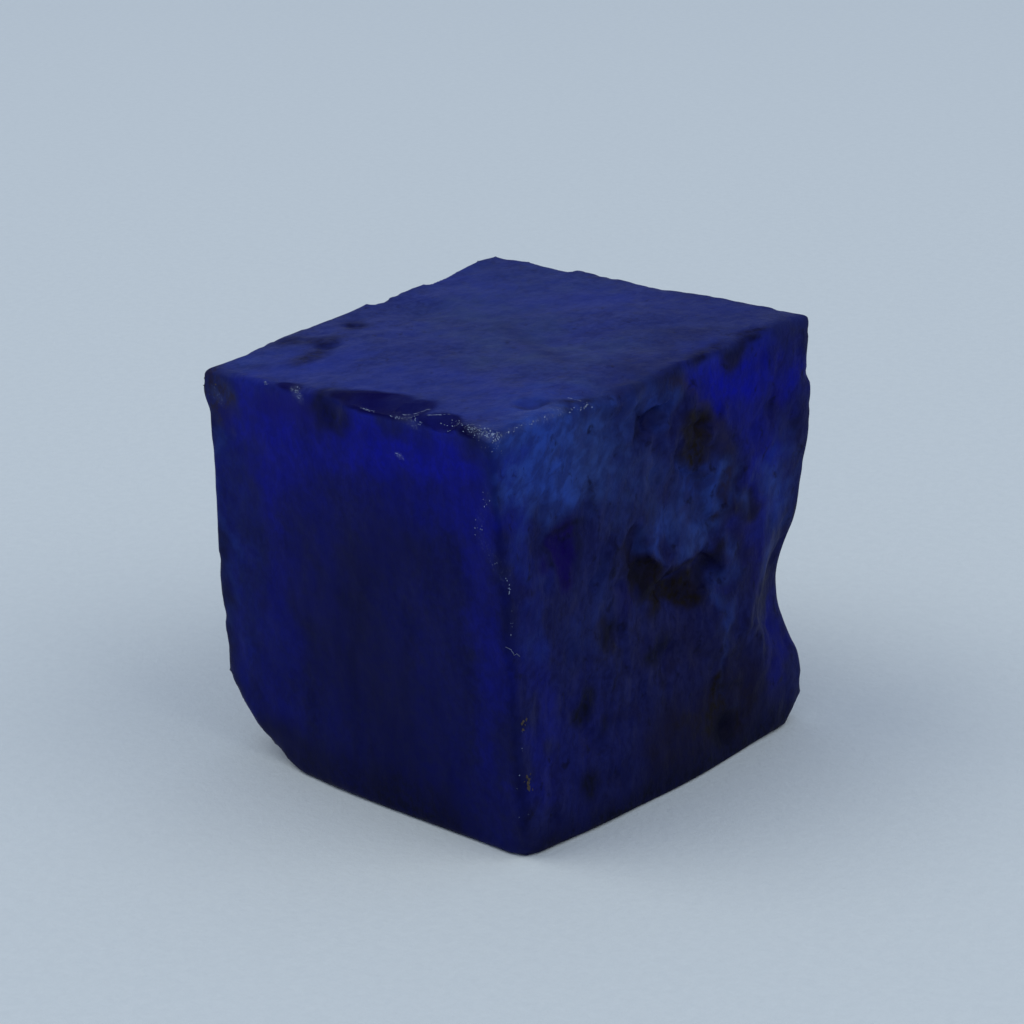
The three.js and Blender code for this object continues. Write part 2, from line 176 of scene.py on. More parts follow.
# Low lumps on the skin once the flakes and pieces are off, given in the same way as the hollows.
LUMPS = {
    "knob": ((-12.2, -12.6, 22.6), (2, 2, 2), (-0.12, -0.07, 0)),
    "under the knob": ((-12.3, -12.5, 20.2), (2.6, 2.6, 2.6), (-0.12, -0.1, 0)),
    "top left edge": ((-12.6, 2, 25.2), (2.6, 8, 2), (0, 0, 0.18)),
    "top left edge end": ((-12.6, 9.8, 25), (2.6, 3.6, 2.4), (0, 0, 0.32)),
    "top back edge": ((6.4, 12.4, 25.2), (4.5, 3, 2.2), (0, 0, 0.18)),
    "top back corner": ((-11.4, 11.6, 25.2), (6, 5.4, 2.4), (0, 0, 0.12)),
    "top right back corner": ((12.4, 12, 25.4), (5, 5, 2.6), (0.06, 0.06, 0.2)),
    "left front edge": ((-12.4, -12.6, 14.5), (3, 3, 9), (-0.12, -0.1, 0)),
    "right back edge": ((12.4, 12.9, 14), (3, 3, 13), (0.18, 0.16, 0)),
    "right back foot": ((12.4, 12.2, 3.6), (3, 3, 5), (0.15, 0.13, 0)),
    "foot corner": ((-7.9, -12.1, 0.5), (2.8, 3, 2.2), (0.2, 0.14, 0.36)),
    "front foot corner": ((12.5, -12.5, 0.2), (1.4, 1.4, 1.3), (-0.14, 0.14, 0.12)),
}

# Marks on the skin. Each is a line of places, how far it reaches along X, Y and Z, and its strength.
MARKS = {
    # painted glow: colour that stands for light coming through the clearer crystal
    "glow": (
        (((-8, -12.6, 21), (9, -12.9, 21.6)), (5, 4, 6), 0.35),
        (((-8.4, -12.6, 21.8), (-5.4, -12.6, 20)), (3.6, 4, 3.6), 0.5),
        (((-4.6, -12.7, 22.9), (-1.8, -12.7, 21.4)), (2.4, 3, 2), 0.45),
        (((-6.2, -12.6, 15), (-6.6, -12.5, 9.5)), (2.8, 4, 4.5), 0.3),
        (((1.8, -12.8, 22.6), (9.4, -12.9, 22.6)), (3, 4, 2.3), 0.75),
        (((2, -12.6, 16),), (2.6, 3, 2), 0.12),
        (((-4.6, -12.5, 12), (-2.2, -12.5, 11.8), (-1.8, -12.5, 15)), (2.4, 3, 2.6), 0.2),
        (((-6.6, -12.6, 17.2),), (3, 3, 2.4), 0.22),
        (((4.4, -12.9, 22.8),), (2, 2, 1.3), 0.5),
        (((8.6, -12.9, 20.4), (10, -12.9, 18.4)), (2.4, 4, 3), 0.22),
        (((10.6, -12.9, 20.5), (10.7, -12.8, 13.5)), (2.4, 3, 4.6), 0.27),
        (((10.6, -12.7, 11.5), (10, -12.7, 5.6)), (2, 3, 4), 0.26),
        (((12.3, -11, 18.4), (12.3, -10.8, 5)), (2, 1.7, 4), 0.27),
        (((-11, -12.3, 17.5), (-10.6, -12.3, 9)), (2.4, 3, 5), 0.22),
        (((-10.4, -12.2, 7), (-7.4, -12.3, 4)), (3, 3, 3.4), 0.2),
        (((12.3, 4.4, 24.2), (12.4, 11.4, 22.4)), (3, 3, 2.6), 0.75),
        (((12.2, 1.8, 24.3), (12.2, 3, 23.3)), (2.4, 1.8, 1.3), 0.6),
        (((12.3, 5.6, 22.8), (12.3, 8.6, 18.6)), (3, 2.6, 3), 0.5),
        (((12.4, 8.4, 17.4), (12.4, 9.8, 14.4)), (3, 2.2, 2.6), 0.34),
        (((12.4, 7.9, 15.6), (12.4, 7.6, 11.4)), (2.4, 1.5, 2), 0.35),
        (((-6, -9, 25), (6, -8, 25)), (7, 5, 3), 0.5),
        (((-8, 6, 25), (0, 9, 25)), (6, 5, 3), 0.35),
        (((12.5, 10.6, 6.4), (12.5, 10.4, 4.6)), (3, 2.4, 3.4), 0.5),
        (((12.3, -9, 8), (12.3, -8, 4)), (3, 4, 4), 0.12),
        (((-12.4, -5, 20.4), (-12.4, 4, 21.6)), (3, 4, 3.6), 0.3),
        (((-4, 12.5, 21.4), (6, 12.5, 20.6)), (5, 3, 3.6), 0.3),
        (((-12.2, 9, 9), (-12, 10, 5)), (3, 3, 4), 0.24),
    ),
    # pale etched skin; on the shelf that faces up and along the polished bevel of the rim, a painted
    # highlight
    "frost": (
        (((12, -12.2, 23.4), (12.1, -8.4, 23.2)), (3, 3.2, 5), 1),
        (((12.1, -9.6, 21), (12.1, -5.4, 21.8)), (3, 3.8, 3.4), 0.66),
        (((12.1, -4.4, 23.4), (12.2, -1, 23.9)), (3, 3, 2.4), 0.5),
        (((12.2, -4.4, 19.4), (12.2, -1.2, 19.2)), (3, 3.4, 3), 0.4),
        # painted highlight on the shelf that faces up
        (((12.3, -0.4, 16), (12.3, 2.4, 15)), (3, 2.2, 1.8), 0.75),
        (((12.4, 10.6, 16.6), (12.4, 11.2, 14)), (3, 1.4, 2.4), 0.3),
        (((12.3, 5.2, 17.6), (12.3, 5.2, 15.6)), (3, 1.2, 1.8), 0.3),
        (((12.2, 2.6, 18), (12.3, 4.8, 16.2)), (3, 2.1, 2.8), 0.6),
        (((12.4, 9.6, 15.6), (12.4, 9.9, 13)), (3, 2.4, 3.4), 0.5),
        (((12.3, 8.8, 17), (12.3, 10.4, 19)), (3, 1.6, 2.4), 0.3),
        (((12.4, 5.6, 12), (12.4, 5.2, 7.6)), (3, 1.2, 2.6), 0.35),
        (((12.4, 5, 7.6), (12.4, 5.2, 4.8)), (3, 0.8, 2.2), 0.3),
        (((12.2, -5.6, 14.4), (12.2, -6, 12)), (3, 2.4, 2.6), 0.15),
        (((12.2, -11.2, 17.6), (12.2, -10.8, 13)), (3, 1.4, 4), 0.2),
        (((-11.9, -12.2, 20), (-11.6, -12.2, 10)), (1.2, 2, 4), 0.35),
        (((-10.4, -12.3, 18), (-9.6, -12.3, 8)), (3.4, 2.4, 5), 0.12),
        # painted highlight along the polished bevel of the rim
        (((12, -12.2, 25), (12.1, -8, 25)), (0.8, 1.6, 0.7), 1),
        (((9.6, -9.6, 25.2), (8.8, -4.6, 25.2)), (2.6, 3.4, 1.6), 0.4),
        (((-11, -9, 25.2), (-9.4, -11.4, 25.2)), (2, 1.6, 1.6), 0.3),
        (((-12.1, -12.4, 23.6), (-11.4, -12.5, 21.8)), (2.1, 2.2, 1.8), 0.5),
        (((-12.3, -6, 7), (-12.3, -8, 4.4)), (3, 2.8, 2.6), 0.5),
        (((-12.2, 5, 13), (-12.2, 4, 9.6)), (3, 2.4, 3), 0.3),
        (((7.4, 12.6, 7), (5.4, 12.6, 4.2)), (3.4, 3, 3), 0.45),
        (((1, 12.6, 16.6), (3, 12.6, 13.4)), (2.6, 3, 3), 0.3),
    ),
    # a thin pale film, around the clear patch and on the knob
    "veil": (
        (((12.2, 0.6, 24.4), (12.2, 2.6, 23.4), (12.3, 5.2, 20.6), (12.3, 5.9, 17.6), (12.3, 5, 15.4)),
         (2.4, 0.55, 0.6), 1),
        (((12.3, 3.4, 20), (12.3, 3, 17)), (2.4, 1, 2), 0.35),
        (((12.3, 7.2, 15), (12.3, 6.8, 12.6)), (2.4, 0.7, 1.2), 0.5),
        (((12.3, -1, 9), (12.3, 1.6, 8)), (2.4, 3, 3), 0.3),
        (((-12.1, -12.4, 23.4), (-11.1, -12.5, 21.8)), (2.1, 2.2, 2), 1.6),
    ),
    # brown stain in the pockets, down the foot and on the knob
    "stain": (
        (((12.2, 2.8, 21.2), (12.3, 3.4, 19.7)), (2.4, 1.8, 1.6), 1.4),
        (((12.3, 4.8, 19.8), (12.3, 5.6, 17)), (2.4, 0.6, 1.2), 0.3),
        (((12.2, 3.4, 19.8), (12.3, 3, 17.6)), (2.4, 0.8, 1.3), 0.5),
        (((12.2, 5.2, 15.6), (12.3, 7.4, 15.2)), (2.4, 0.9, 1), 0.5),
        (((11.8, 0, 11.3), (11.8, 2.6, 11.4)), (2.8, 2.2, 1.5), 1.4),
        (((11.8, -2.9, 15.8), (11.8, -2.1, 13.4)), (2.6, 1.5, 1.6), 0.85),
        (((11.8, -2.1, 13.2), (11.8, 0.2, 11.9)), (2.6, 1.3, 1.2), 0.9),
        (((12.3, -2, 14.2), (12.2, 0.4, 13.2), (12.3, 5, 12.7)), (2.4, 1, 0.8), 0.8),
        (((12.4, 4.8, 2.2), (12.4, 4.3, 4)), (2.4, 1.5, 1.8), 0.8),
        (((12.4, 0, 3), (12.4, 6.6, 3.2)), (3, 4.6, 4.2), 0.8),
        (((12.4, 2.4, 8.4), (12.4, 5.4, 6)), (3, 2.6, 2.6), 0.28),
        (((12.4, 6.8, 12.8), (12.4, 7.4, 10.6)), (2.4, 1.2, 1.4), 0.45),
        (((12.2, -5.2, 11.6), (12.2, -4.6, 10.8)), (2.4, 0.8, 0.8), 0.7),
        (((12.2, -10.8, 16), (12.2, -11.4, 14)), (2.4, 1, 1.6), 0.3),
        (((-12.1, -12.4, 23.2), (-11.8, -12.5, 22.6)), (1.1, 1.5, 1), 0.4),
        (((12.3, 8, 25.2), (11.8, 3.4, 25.3)), (1.2, 1.4, 0.8), 0.5),
        (((11.4, -2, 25.2), (8.8, 5.4, 25.4)), (2.4, 3.6, 1.6), 0.3),
        (((-0.4, -12.8, 24.2), (-3, -12.7, 22.8)), (1.5, 1.6, 1.1), 0.4),
        (((-8.4, 12, 20.2),), (2.4, 2.4, 2.2), 0.7),
        (((-5.4, 12.2, 10), (-3.4, 12.2, 7.6)), (2.6, 3, 2), 0.5),
        (((-12.2, -3, 15), (-12.2, -5, 13)), (3, 2.4, 2), 0.4),
    ),
    # painted sheen on the top: a greyish reflection of the bright backdrop
    "sheen": (
        (((-6, 4, 25), (3, -1, 25)), (6, 5, 3), 0.6),
        (((-9, 9, 25), (-4, 11, 25)), (4, 4, 3), 0.4),
        (((6.4, 3, 25), (9.4, -4, 25)), (3, 3, 3), 0.35),
    ),
    # violet where the crystal is struck or pitted clear
    "violet": (
        (((12, -8.3, 17.7), (12, -8.2, 16.3)), (2.4, 1.2, 1.3), 2.2),
        (((12, -9.9, 16.6),), (2, 0.8, 0.9), 0.8),
        (((12, -8.2, 15),), (2, 0.9, 0.9), 1.4),
        (((-4, -12.7, 23.4), (-6, -12.7, 23)), (2, 2, 1.4), 0.4),
        (((12.2, -3.4, 12.6),), (2, 1.2, 1.4), 0.4),
        (((12.3, 10, 20.5), (12.3, 11, 17)), (2, 1.2, 2.4), 0.4),
    ),
    # painted shade: thick crystal, pits, pockets, under chips, and the foot where it meets the floor
    "shade": (
        (((-1.6, -12.5, 11), (3, -12.5, 5)), (6.5, 4, 7), 0.4),
        (((-1.8, -12.8, 23.9), (-1.6, -12.8, 23), (0.3, -12.8, 23.3)), (1.3, 2, 1.2), 0.85),
        (((8.2, -12.9, 25), (10.6, -12.9, 24.5)), (1.2, 1.4, 0.7), 0.6),
        (((3.6, -12.7, 17), (1, -12.6, 15.4)), (4, 3, 2.4), 0.3),
        (((-7.8, -12.4, 10.5),), (0.8, 1.4, 0.9), 0.5),
        (((-10.9, -6.6, 25), (-8.7, -5.6, 25), (-7.5, -8.9, 25)), (1.4, 1.4, 1.8), 1.5),
        (((-9.7, -2.8, 25),), (1.7, 1.2, 1.8), 1.4),
        (((-12, 1.8, 25),), (1.2, 0.8, 1.6), 0.6),
        (((-9.4, -10.9, 24.6),), (1.6, 0.8, 1.6), 0.5),
        (((-1.6, 1.7, 25), (3, -0.4, 25), (6.4, -1.6, 25)), (1.6, 0.9, 1.6), 0.35),
        (((9, 6.6, 25), (4.6, 3.4, 25)), (2.4, 1, 1.6), 0.3),
        (((10.4, 10, 25.5), (6, 11, 25.5)), (5, 6, 3), 0.28),
        (((-3, -4, 25), (2.6, -5.4, 25)), (3, 1.2, 1.6), 0.14),
        (((12.2, -2.2, 22.1), (12.2, -0.6, 22.9)), (2, 0.9, 0.6), 0.6),
        (((12.2, -0.6, 24.2), (12.2, 0.8, 24.6)), (2, 1, 0.7), 0.4),
        (((12, 3.6, 11.9), (12.2, 4.6, 13)), (2, 1, 1.1), 0.7),
        (((12, -2.4, 13.8), (12, -1.6, 12.6)), (2, 1.2, 1.2), 0.7),
        (((12.2, -7, 8), (12.2, -7.6, 6.8)), (1.8, 0.9, 1), 1.3),
        (((12.2, -7.1, 2.7),), (1.8, 1.2, 1.1), 1.2),
        (((12.2, -5.7, 5.8),), (1.8, 0.8, 1), 0.9),
        (((12.2, -0.2, 9), (12.2, -0.8, 8.4)), (1.8, 1, 1), 1.1),
        (((12.2, -4.7, 11.3),), (1.8, 1, 1), 1.2),
        (((12.2, 7.4, 14.9),), (1.6, 0.8, 0.8), 0.5),
        (((12.4, 5.1, 2.6), (12.4, 4.6, 1.6)), (1.8, 0.9, 1.2), 1.3),
        (((12.3, -6, 0.6), (12.4, 10, 0.8)), (3, 6, 3.4), 0.34),
        (((12.5, 9.4, 9.6), (12.5, 9.2, 8.6)), (2, 1.6, 1.6), 0.8),
        (((12.5, 10.6, 6), (12.5, 9.8, 3)), (3, 2.4, 3), 0.3),
        (((12.5, 10.6, 12), (12.5, 10.6, 10)), (3, 1.6, 2), 0.5),
        (((12.2, 8, 25.2), (11.9, 4, 25.3)), (1, 1.6, 0.7), 0.8),
        (((12.2, -1.6, 24.9), (12.2, 3, 25.2)), (0.8, 1.6, 0.6), 0.5),
        (((12.3, 9, 25.3), (12.4, 12, 25.5)), (0.8, 1.6, 0.6), 0.25),
        (((12.3, -11, 0), (12.4, 11.6, 0)), (2, 2, 2.2), 0.8),
        (((-8, -12.3, 1), (6.4, -12.5, 0.4)), (3.4, 2, 3.2), 0.8),
        (((-12.1, -12.2, 13), (-11.4, -12.2, 5)), (1.4, 2, 3), 0.7),
        (((11.2, 2, 25.2), (11.4, 8, 25.3)), (1.5, 2, 1.2), 0.18),
        (((9.6, -2, 25), (10.6, 2, 25)), (2, 2.4, 1.2), 0.25),
        (((12.1, -9.3, 17.6), (12.1, -9.2, 16.6)), (2, 0.35, 0.8), 0.4),
        (((12.1, -8.6, 18.3), (12.1, -7.6, 18.3), (12.1, -6.6, 18.2)), (2, 0.5, 0.35), 0.75),
        (((12.1, -7.2, 18), (12.1, -7.1, 16.4)), (2, 0.35, 1), 0.4),
        (((12.1, -8.2, 15),), (2, 0.7, 0.6), 0.45),
        (((12.1, -7.3, 25), (12.1, -5.3, 24.8)), (1, 1.3, 0.5), 0.8),
        (((9.4, -8.6, 25), (10.6, -7.6, 25)), (0.7, 0.7, 0.8), 0.6),
        (((11.3, -6.9, 25.1), (12.4, -5.9, 25)), (0.7, 0.6, 0.8), 0.9),
        (((12.2, -12.7, 21), (12.5, -12.6, 2)), (0.9, 0.8, 2), 0.32),
    ),
    # bruised, crushed crystal along the struck rim, with painted glints and painted highlight streaks on its
    # polished chips
    "crush_and_glint": (
        (((10, -12.9, 24.9), (11.8, -12.9, 24.7)), (0.6, 1, 0.36), 0.42),
        # painted highlight streaks along the polished bevel of the rim
        (((12, -12, 25), (12.1, -8.4, 25)), (0.5, 1.6, 0.4), 0.4),
        (((10.4, -10, 25), (11.7, -7.8, 25.1)), (0.45, 0.7, 0.5), 0.25),
        # painted glints on the struck rim
        (((4, -12.9, 24.6), (5.6, -12.9, 24.3)), (0.5, 0.9, 0.3), 0.35),
        (((3.8, -12.8, 22.3), (4.6, -12.9, 22.15)), (0.14, 0.8, 0.09), 0.6),
        (((-11.2, -12.6, 22.7), (-10.8, -12.6, 22.2)), (0.5, 1.4, 0.5), 0.2),
        (((-4.2, -12.7, 24.3), (-3.5, -12.7, 23.9)), (0.45, 0.9, 0.35), 0.4),
        (((11, -12.9, 21.4), (10.2, -12.9, 19.2), (12, -12.8, 17)), (0.35, 0.8, 1.2), 0.06),
    ),
    # corners and edges worn round
    "worn": (
        (((12.4, 12.5, 1), (12.4, 12.4, 6)), (2.6, 2.6, 3), 1),
        (((12.4, 12.8, 8), (12.4, 12.8, 25)), (1.4, 1.4, 3), 0.8),
        (((-12.2, 12.2, 25), (4, 12.6, 25.2)), (3, 1.4, 1.6), 0.5),
        (((12.2, 12.7, 25.2),), (2.4, 2.4, 2.4), 1),
        (((-12, 12, 25),), (2.6, 2.6, 2.4), 1),
        (((-12.2, -9, 24.4), (-12.4, 12, 25.2)), (1.4, 3, 1.4), 0.4),
        (((-12.2, -12.2, 5.5), (-10.6, -12.2, 2.2), (-8.2, -12.2, 0.4)), (2.4, 2.4, 2.4), 1),
        (((12.4, -12.5, 0.4),), (1.8, 1.8, 1.8), 1),
    ),
    # rougher relief
    "rough": (
        (((12.2, -3, 23), (12.3, 3, 21)), (3, 4.5, 3.4), 0.7),
        (((12.2, 2.3, 20), (12.3, 4.6, 16)), (3, 2.6, 3), 0.8),
        (((12.1, -2.6, 15), (12.1, 3.8, 12)), (3, 3, 2.6), 0.5),
        (((12.3, -4, 9), (12.4, 7, 7)), (3, 5, 5), 0.5),
    ),
}

# How far the edge of each kind of mark strays.
STRAY = {
    "glow": 2,
    "frost": 1.8,
    "veil": 1,
    "sheen": 2.4,
    "stain": 1.3,
    "violet": 0.7,
    "shade": 0.6,
    "crush_and_glint": 0,
}

# ---- Shape functions, on arrays of points in millimetres -------------------------------------------------


def swell_at(points):
    """The swell at each point, between about -1 and 1."""
    height = 0
    for along, length, phase in WAVES:
        direction = np.array(along) / np.linalg.norm(along)
        height = height + np.sin(2 * math.pi / length * (points @ direction) + phase)
    return height / math.sqrt(len(WAVES))


def bell(points, at, reach):
    """1 at the middle of a dent, falling smoothly to 0 at its reach."""
    away = np.linalg.norm((points - np.array(at)) / np.array(reach), axis=1)
    return np.clip(1 - away * away, 0, 1) ** 2


def into_block(units):
    """Points of the unit cube carried into the lopsided block."""
    placed = np.zeros_like(units)
    for side, shift in CORNER_SHIFT.items():
        corner = np.array([(side[0] - 0.5) * EDGE, (side[1] - 0.5) * EDGE, side[2] * EDGE]) + np.array(shift)
        share = np.prod(np.where(np.array(side) == 1, units, 1 - units), axis=1)
        placed += share[:, None] * corner
    return placed


def out_of_block(points):
    """The place in the unit cube of each point of the block."""
    low = np.array([-HALF, -HALF, 0])
    units = (points - low) / EDGE
    for _ in range(4):
        units += (points - into_block(units)) / EDGE
    return units


def skin_points(units):
    """Points of the unit cube's surface, worn, carried into the block, swelled and dented, on a flat foot."""
    worn = WEAR / EDGE
    inner = np.clip(units, worn, 1 - worn)
    facing = units - inner
    facing /= np.linalg.norm(facing, axis=1)[:, None]
    points = into_block(inner + facing * worn)
    swell = np.array(SWELL)
    height = np.sum(facing**2 * np.where(facing > 0, swell[:, 1], swell[:, 0]), axis=1)
    points += facing * (height * swell_at(points))[:, None]
    moved = points.copy()
    for at, reach, push in DENTS.values():
        moved += bell(points, at, reach)[:, None] * np.array(push)
    moved[:, 2] = np.maximum(moved[:, 2], 0)
    return moved


def grid_lines():
    """Where the grid lines lie along a side of the unit cube: close together where the edge is worn round."""
    worn = WEAR / EDGE
    edge = [0, worn * 0.3, worn * 0.65]
    middle = [worn + (1 - 2 * worn) * i / CELLS for i in range(CELLS + 1)]
    return np.array(edge + middle + [1 - line for line in reversed(edge)])


def mesh_object(name, points, faces):
    """A mesh object of points in millimetres."""
    mesh = bpy.data.meshes.new(name)
    mesh.from_pydata((points * MM).tolist(), [], faces.tolist())
    made = bpy.data.objects.new(name, mesh)
    bpy.context.scene.collection.objects.link(made)
    return made


def merged(points, faces):
    """The same faces with points that lie together made one."""
    _, first, again = np.unique(np.round(points, 5), axis=0, return_index=True, return_inverse=True)
    return points[first], again.reshape(-1)[faces]


def cube_of_grids(lines, low, high):
    """The points and faces of a cube: six grids along the lines, which share their edge points."""
    count = len(lines)
    u, v = (axis.ravel() for axis in np.meshgrid(lines, lines, indexing="ij"))
    index = np.arange(count * count).reshape(count, count)
    corners = [index[:-1, :-1], index[1:, :-1], index[1:, 1:], index[:-1, 1:]]
    cells = np.stack(corners, axis=-1).reshape(-1, 4)
    points, faces = [], []
    for axis in range(3):
        for side in (low, high):
            grid = np.empty((count * count, 3))
            grid[:, axis] = side
            grid[:, (axis + 1) % 3] = u
            grid[:, (axis + 2) % 3] = v
            faces.append((cells if side == high else cells[:, ::-1]) + len(points) * count * count)
            points.append(grid)
    return merged(np.concatenate(points), np.concatenate(faces))


def block_object():
    """The block before anything is struck off it."""
    units, faces = cube_of_grids(grid_lines(), 0, 1)
    return mesh_object("block", skin_points(units), faces)


def ball(cuts):
    """A unit ball of points and faces: a cube of square cells, pushed out round."""
    points, faces = cube_of_grids(np.tan(np.linspace(-1, 1, cuts + 1) * math.pi / 4), -1, 1)
    return points / np.linalg.norm(points, axis=1)[:, None], faces


def flake_object(name, at, half, turn):
    """A lumpy egg-shaped pebble, rippled in rings about its outer end, as a shell-like fracture is."""
    LUMP = 0.11
    LUMP_FINENESS = 4.5
    RIPPLE = 0.05
    RING = 1.6
    cuts = int(min(64, max(10, 1.6 * max(half) / PEBBLE_CELL)))
    points, faces = ball(cuts)
    turned = np.array(Euler([math.radians(angle) for angle in turn]).to_matrix())
    middle = np.array(at)
    points = (points * np.array(half)) @ turned.T + middle
    outward = np.array([at[0], at[1], 0])
    outer_end = middle + outward / np.linalg.norm(outward) * max(half)
    lump = LUMP * swell_at(points * LUMP_FINENESS)
    ripple = RIPPLE * np.sin(2 * math.pi * np.linalg.norm(points - outer_end, axis=1) / RING)
    away = points - middle
    away /= np.linalg.norm(away, axis=1)[:, None]
    return mesh_object(name, points + away * (lump + ripple)[:, None], faces)


def break_object(name, at, facing, along, half):
    """A slab whose inner face is the face of fracture, gently uneven."""
    UNEVEN = 0.08
    cells = [max(2, round(2 * side / BREAK_CELL)) for side in half]
    outward = Vector(facing).normalized()
    across = outward.cross(Vector(along)).normalized()
    turned = np.array(Matrix((across.cross(outward), across, outward)))
    rows = [np.linspace(-side, side, count + 1) for side, count in zip(half, cells)]
    u, v = (axis.ravel() for axis in np.meshgrid(*rows, indexing="ij"))
    count = len(u)
    index = np.arange(count).reshape(cells[0] + 1, cells[1] + 1)
    corners = [index[:-1, :-1], index[:-1, 1:], index[1:, 1:], index[1:, :-1]]
    floor = np.stack(corners, axis=-1).reshape(-1, 4)
    rim = np.concatenate([index[:, 0], index[-1, 1:], index[-2::-1, -1], index[0, -2::-1]])
    walls = np.stack([rim[:-1], rim[1:], rim[1:] + count, rim[:-1] + count], axis=-1)
    low = np.stack([u, v, np.zeros(count)], axis=1)
    high = np.stack([u, v, np.full(count, BREAK_DEPTH)], axis=1)
    points = np.concatenate([low, high]) @ turned + np.array(at)
    points -= UNEVEN * swell_at(points * 2)[:, None] * np.array(outward)
    return mesh_object(name, points, np.concatenate([floor, floor[:, ::-1] + count, walls]))


def cut_away(stone, cutters):
    """Takes the cutters out of the stone, one after another, and deletes them."""
    for cutter in cutters:
        cut = stone.modifiers.new(cutter.name, "BOOLEAN")
        cut.operation = "DIFFERENCE"
        cut.solver = "MANIFOLD"
        cut.object = cutter
    seen = bpy.context.evaluated_depsgraph_get()
    finished = bpy.data.meshes.new_from_object(stone.evaluated_get(seen))
    stone.modifiers.clear()
    rough = stone.data
    stone.data = finished
    bpy.data.meshes.remove(rough)
    for cutter in cutters:
        mesh = cutter.data
        bpy.data.objects.remove(cutter)
        bpy.data.meshes.remove(mesh)


def points_of(mesh):
    points = np.empty(len(mesh.vertices) * 3)
    mesh.vertices.foreach_get("co", points)
    return points.reshape(-1, 3)


def marked(points, marks):
    """How strongly the marks touch each point, from 0 to 1."""
    total = np.zeros(len(points))
    for line, reach, strength in marks:
        places = points / np.array(reach)
        stops = np.array(line) / np.array(reach)
        nearest = np.linalg.norm(places - stops[0], axis=1)
        for start, end in zip(stops[:-1], stops[1:]):
            run = end - start
            along = np.clip((places - start) @ run / (run @ run), 0, 1)
            nearest = np.minimum(nearest, np.linalg.norm(places - start - along[:, None] * run, axis=1))
        total += strength * np.clip(1 - nearest**2, 0, 1) ** 2
    return np.clip(total, 0, 1)


def struck(points, names, beyond):
    """1 on the skin that the named flakes leave, fading out beyond it."""
    share = np.zeros(len(points))
    for name in names:
        at, half, turn = FLAKES[name]
        turned = np.array(Euler([math.radians(angle) for angle in turn]).to_matrix())
        away = np.linalg.norm(((points - np.array(at)) @ turned) / np.array(half), axis=1)
        share = np.maximum(share, np.clip((beyond - away) / (beyond - FLAKE_SKIN), 0, 1))
    return share


def softened(points, mesh, share, rounds):
    """The points with the mesh smoothed where share is 1, and left alone where it is 0."""
    ends = np.empty(len(mesh.edges) * 2, dtype=np.int64)
    mesh.edges.foreach_get("vertices", ends)
    first, second = ends.reshape(-1, 2).T
    count = np.bincount(np.concatenate([first, second]), minlength=len(points))
    moved = points.copy()
    for _ in range(rounds):
        total = np.zeros_like(moved)
        np.add.at(total, first, moved[second])
        np.add.at(total, second, moved[first])
        moved += share[:, None] * SMOOTHING * (total / np.maximum(count, 1)[:, None] - moved)
    return moved


def wander(points, lengths, seed):
    """Smooth noise at each point, about -0.5 to 0.5, with its own length along X, Y and Z."""
    return np.array([noise.noise(place) for place in points / np.array(lengths) + seed])


def drift(points, lengths, seeds):
    """Smooth noise at each point along X, Y and Z."""
    return np.stack([wander(points, lengths, seed) for seed in seeds], axis=1)


def side_shares(units):
    """How much each point belongs to the low and high side along X, Y and Z, and how far the next side is."""
    depths = np.concatenate([units, 1 - units], axis=1) * EDGE
    shares = np.exp(-np.clip(depths / SIDE_BLEND, 0, 60))
    shares /= shares.sum(axis=1)[:, None]
    return shares, np.sort(depths, axis=1)[:, 1]


def relief(points, shares, to_edge):
    """Height of the small relief above the skin: grooves along the top, etching down the right side.

    Each kind has its own height, lengths along X, Y and Z, and seed.
    """
    left, front, foot, right, back, top = shares.T
    grooved = points @ np.array(Matrix.Rotation(math.radians(GROOVE_TURN), 3, "Z")).T
    leaned = points @ np.array(Matrix.Rotation(math.radians(ETCH_LEAN), 3, "X")).T
    rough = marked(points, MARKS["rough"])
    height = 0.05 * wander(points, (3.4, 3.4, 3.4), 11)
    height += top * 0.07 * wander(grooved, (7, 1.8, 3), 23)
    height += top * 0.02 * wander(grooved, (2.2, 0.9, 2), 29)
    height += front * 0.03 * wander(points, (2.4, 2.4, 14), 31)
    etched = (right + 0.8 * left + 0.8 * back) * np.clip(to_edge / 2, 0.35, 1)
    height += etched * (0.06 + 0.22 * rough) * wander(leaned, (0.9, 0.9, 2.6), 41)
    height -= etched * (0.03 + 0.18 * rough) * np.abs(wander(points, (0.8, 0.8, 1.1), 53))
    height -= etched * np.clip(wander(points, (1.5, 1.5, 1.7), 61) - 0.24, 0, 1) * 0.7
    chips = np.clip(1 - to_edge / CHIP_REACH, 0, 1) ** 2
    height -= chips * np.clip(wander(points, (0.75, 0.75, 0.9), 71), 0, 1) * 0.22
    return height * (1 - foot)


def normals_of(mesh):
    facing = np.empty(len(mesh.vertices) * 3)
    mesh.vertex_normals.foreach_get("vector", facing)
    return facing.reshape(-1, 3)


def put_points(mesh, points):
    mesh.vertices.foreach_set("co", (points * MM).ravel())
    mesh.update()


def store_mask(mesh, name, values):
    mesh.attributes.new(name, "FLOAT", "POINT").data.foreach_set("value", values.astype(np.float32))


# ---- The crystal -----------------------------------------------------------------------------------------

crystal = block_object()
crystal.name = "crystal_skin"
cutters = [flake_object(name, *values) for name, values in FLAKES.items()]
cutters += [break_object(name, *values) for name, values in BREAKS.items()]
cut_away(crystal, cutters)

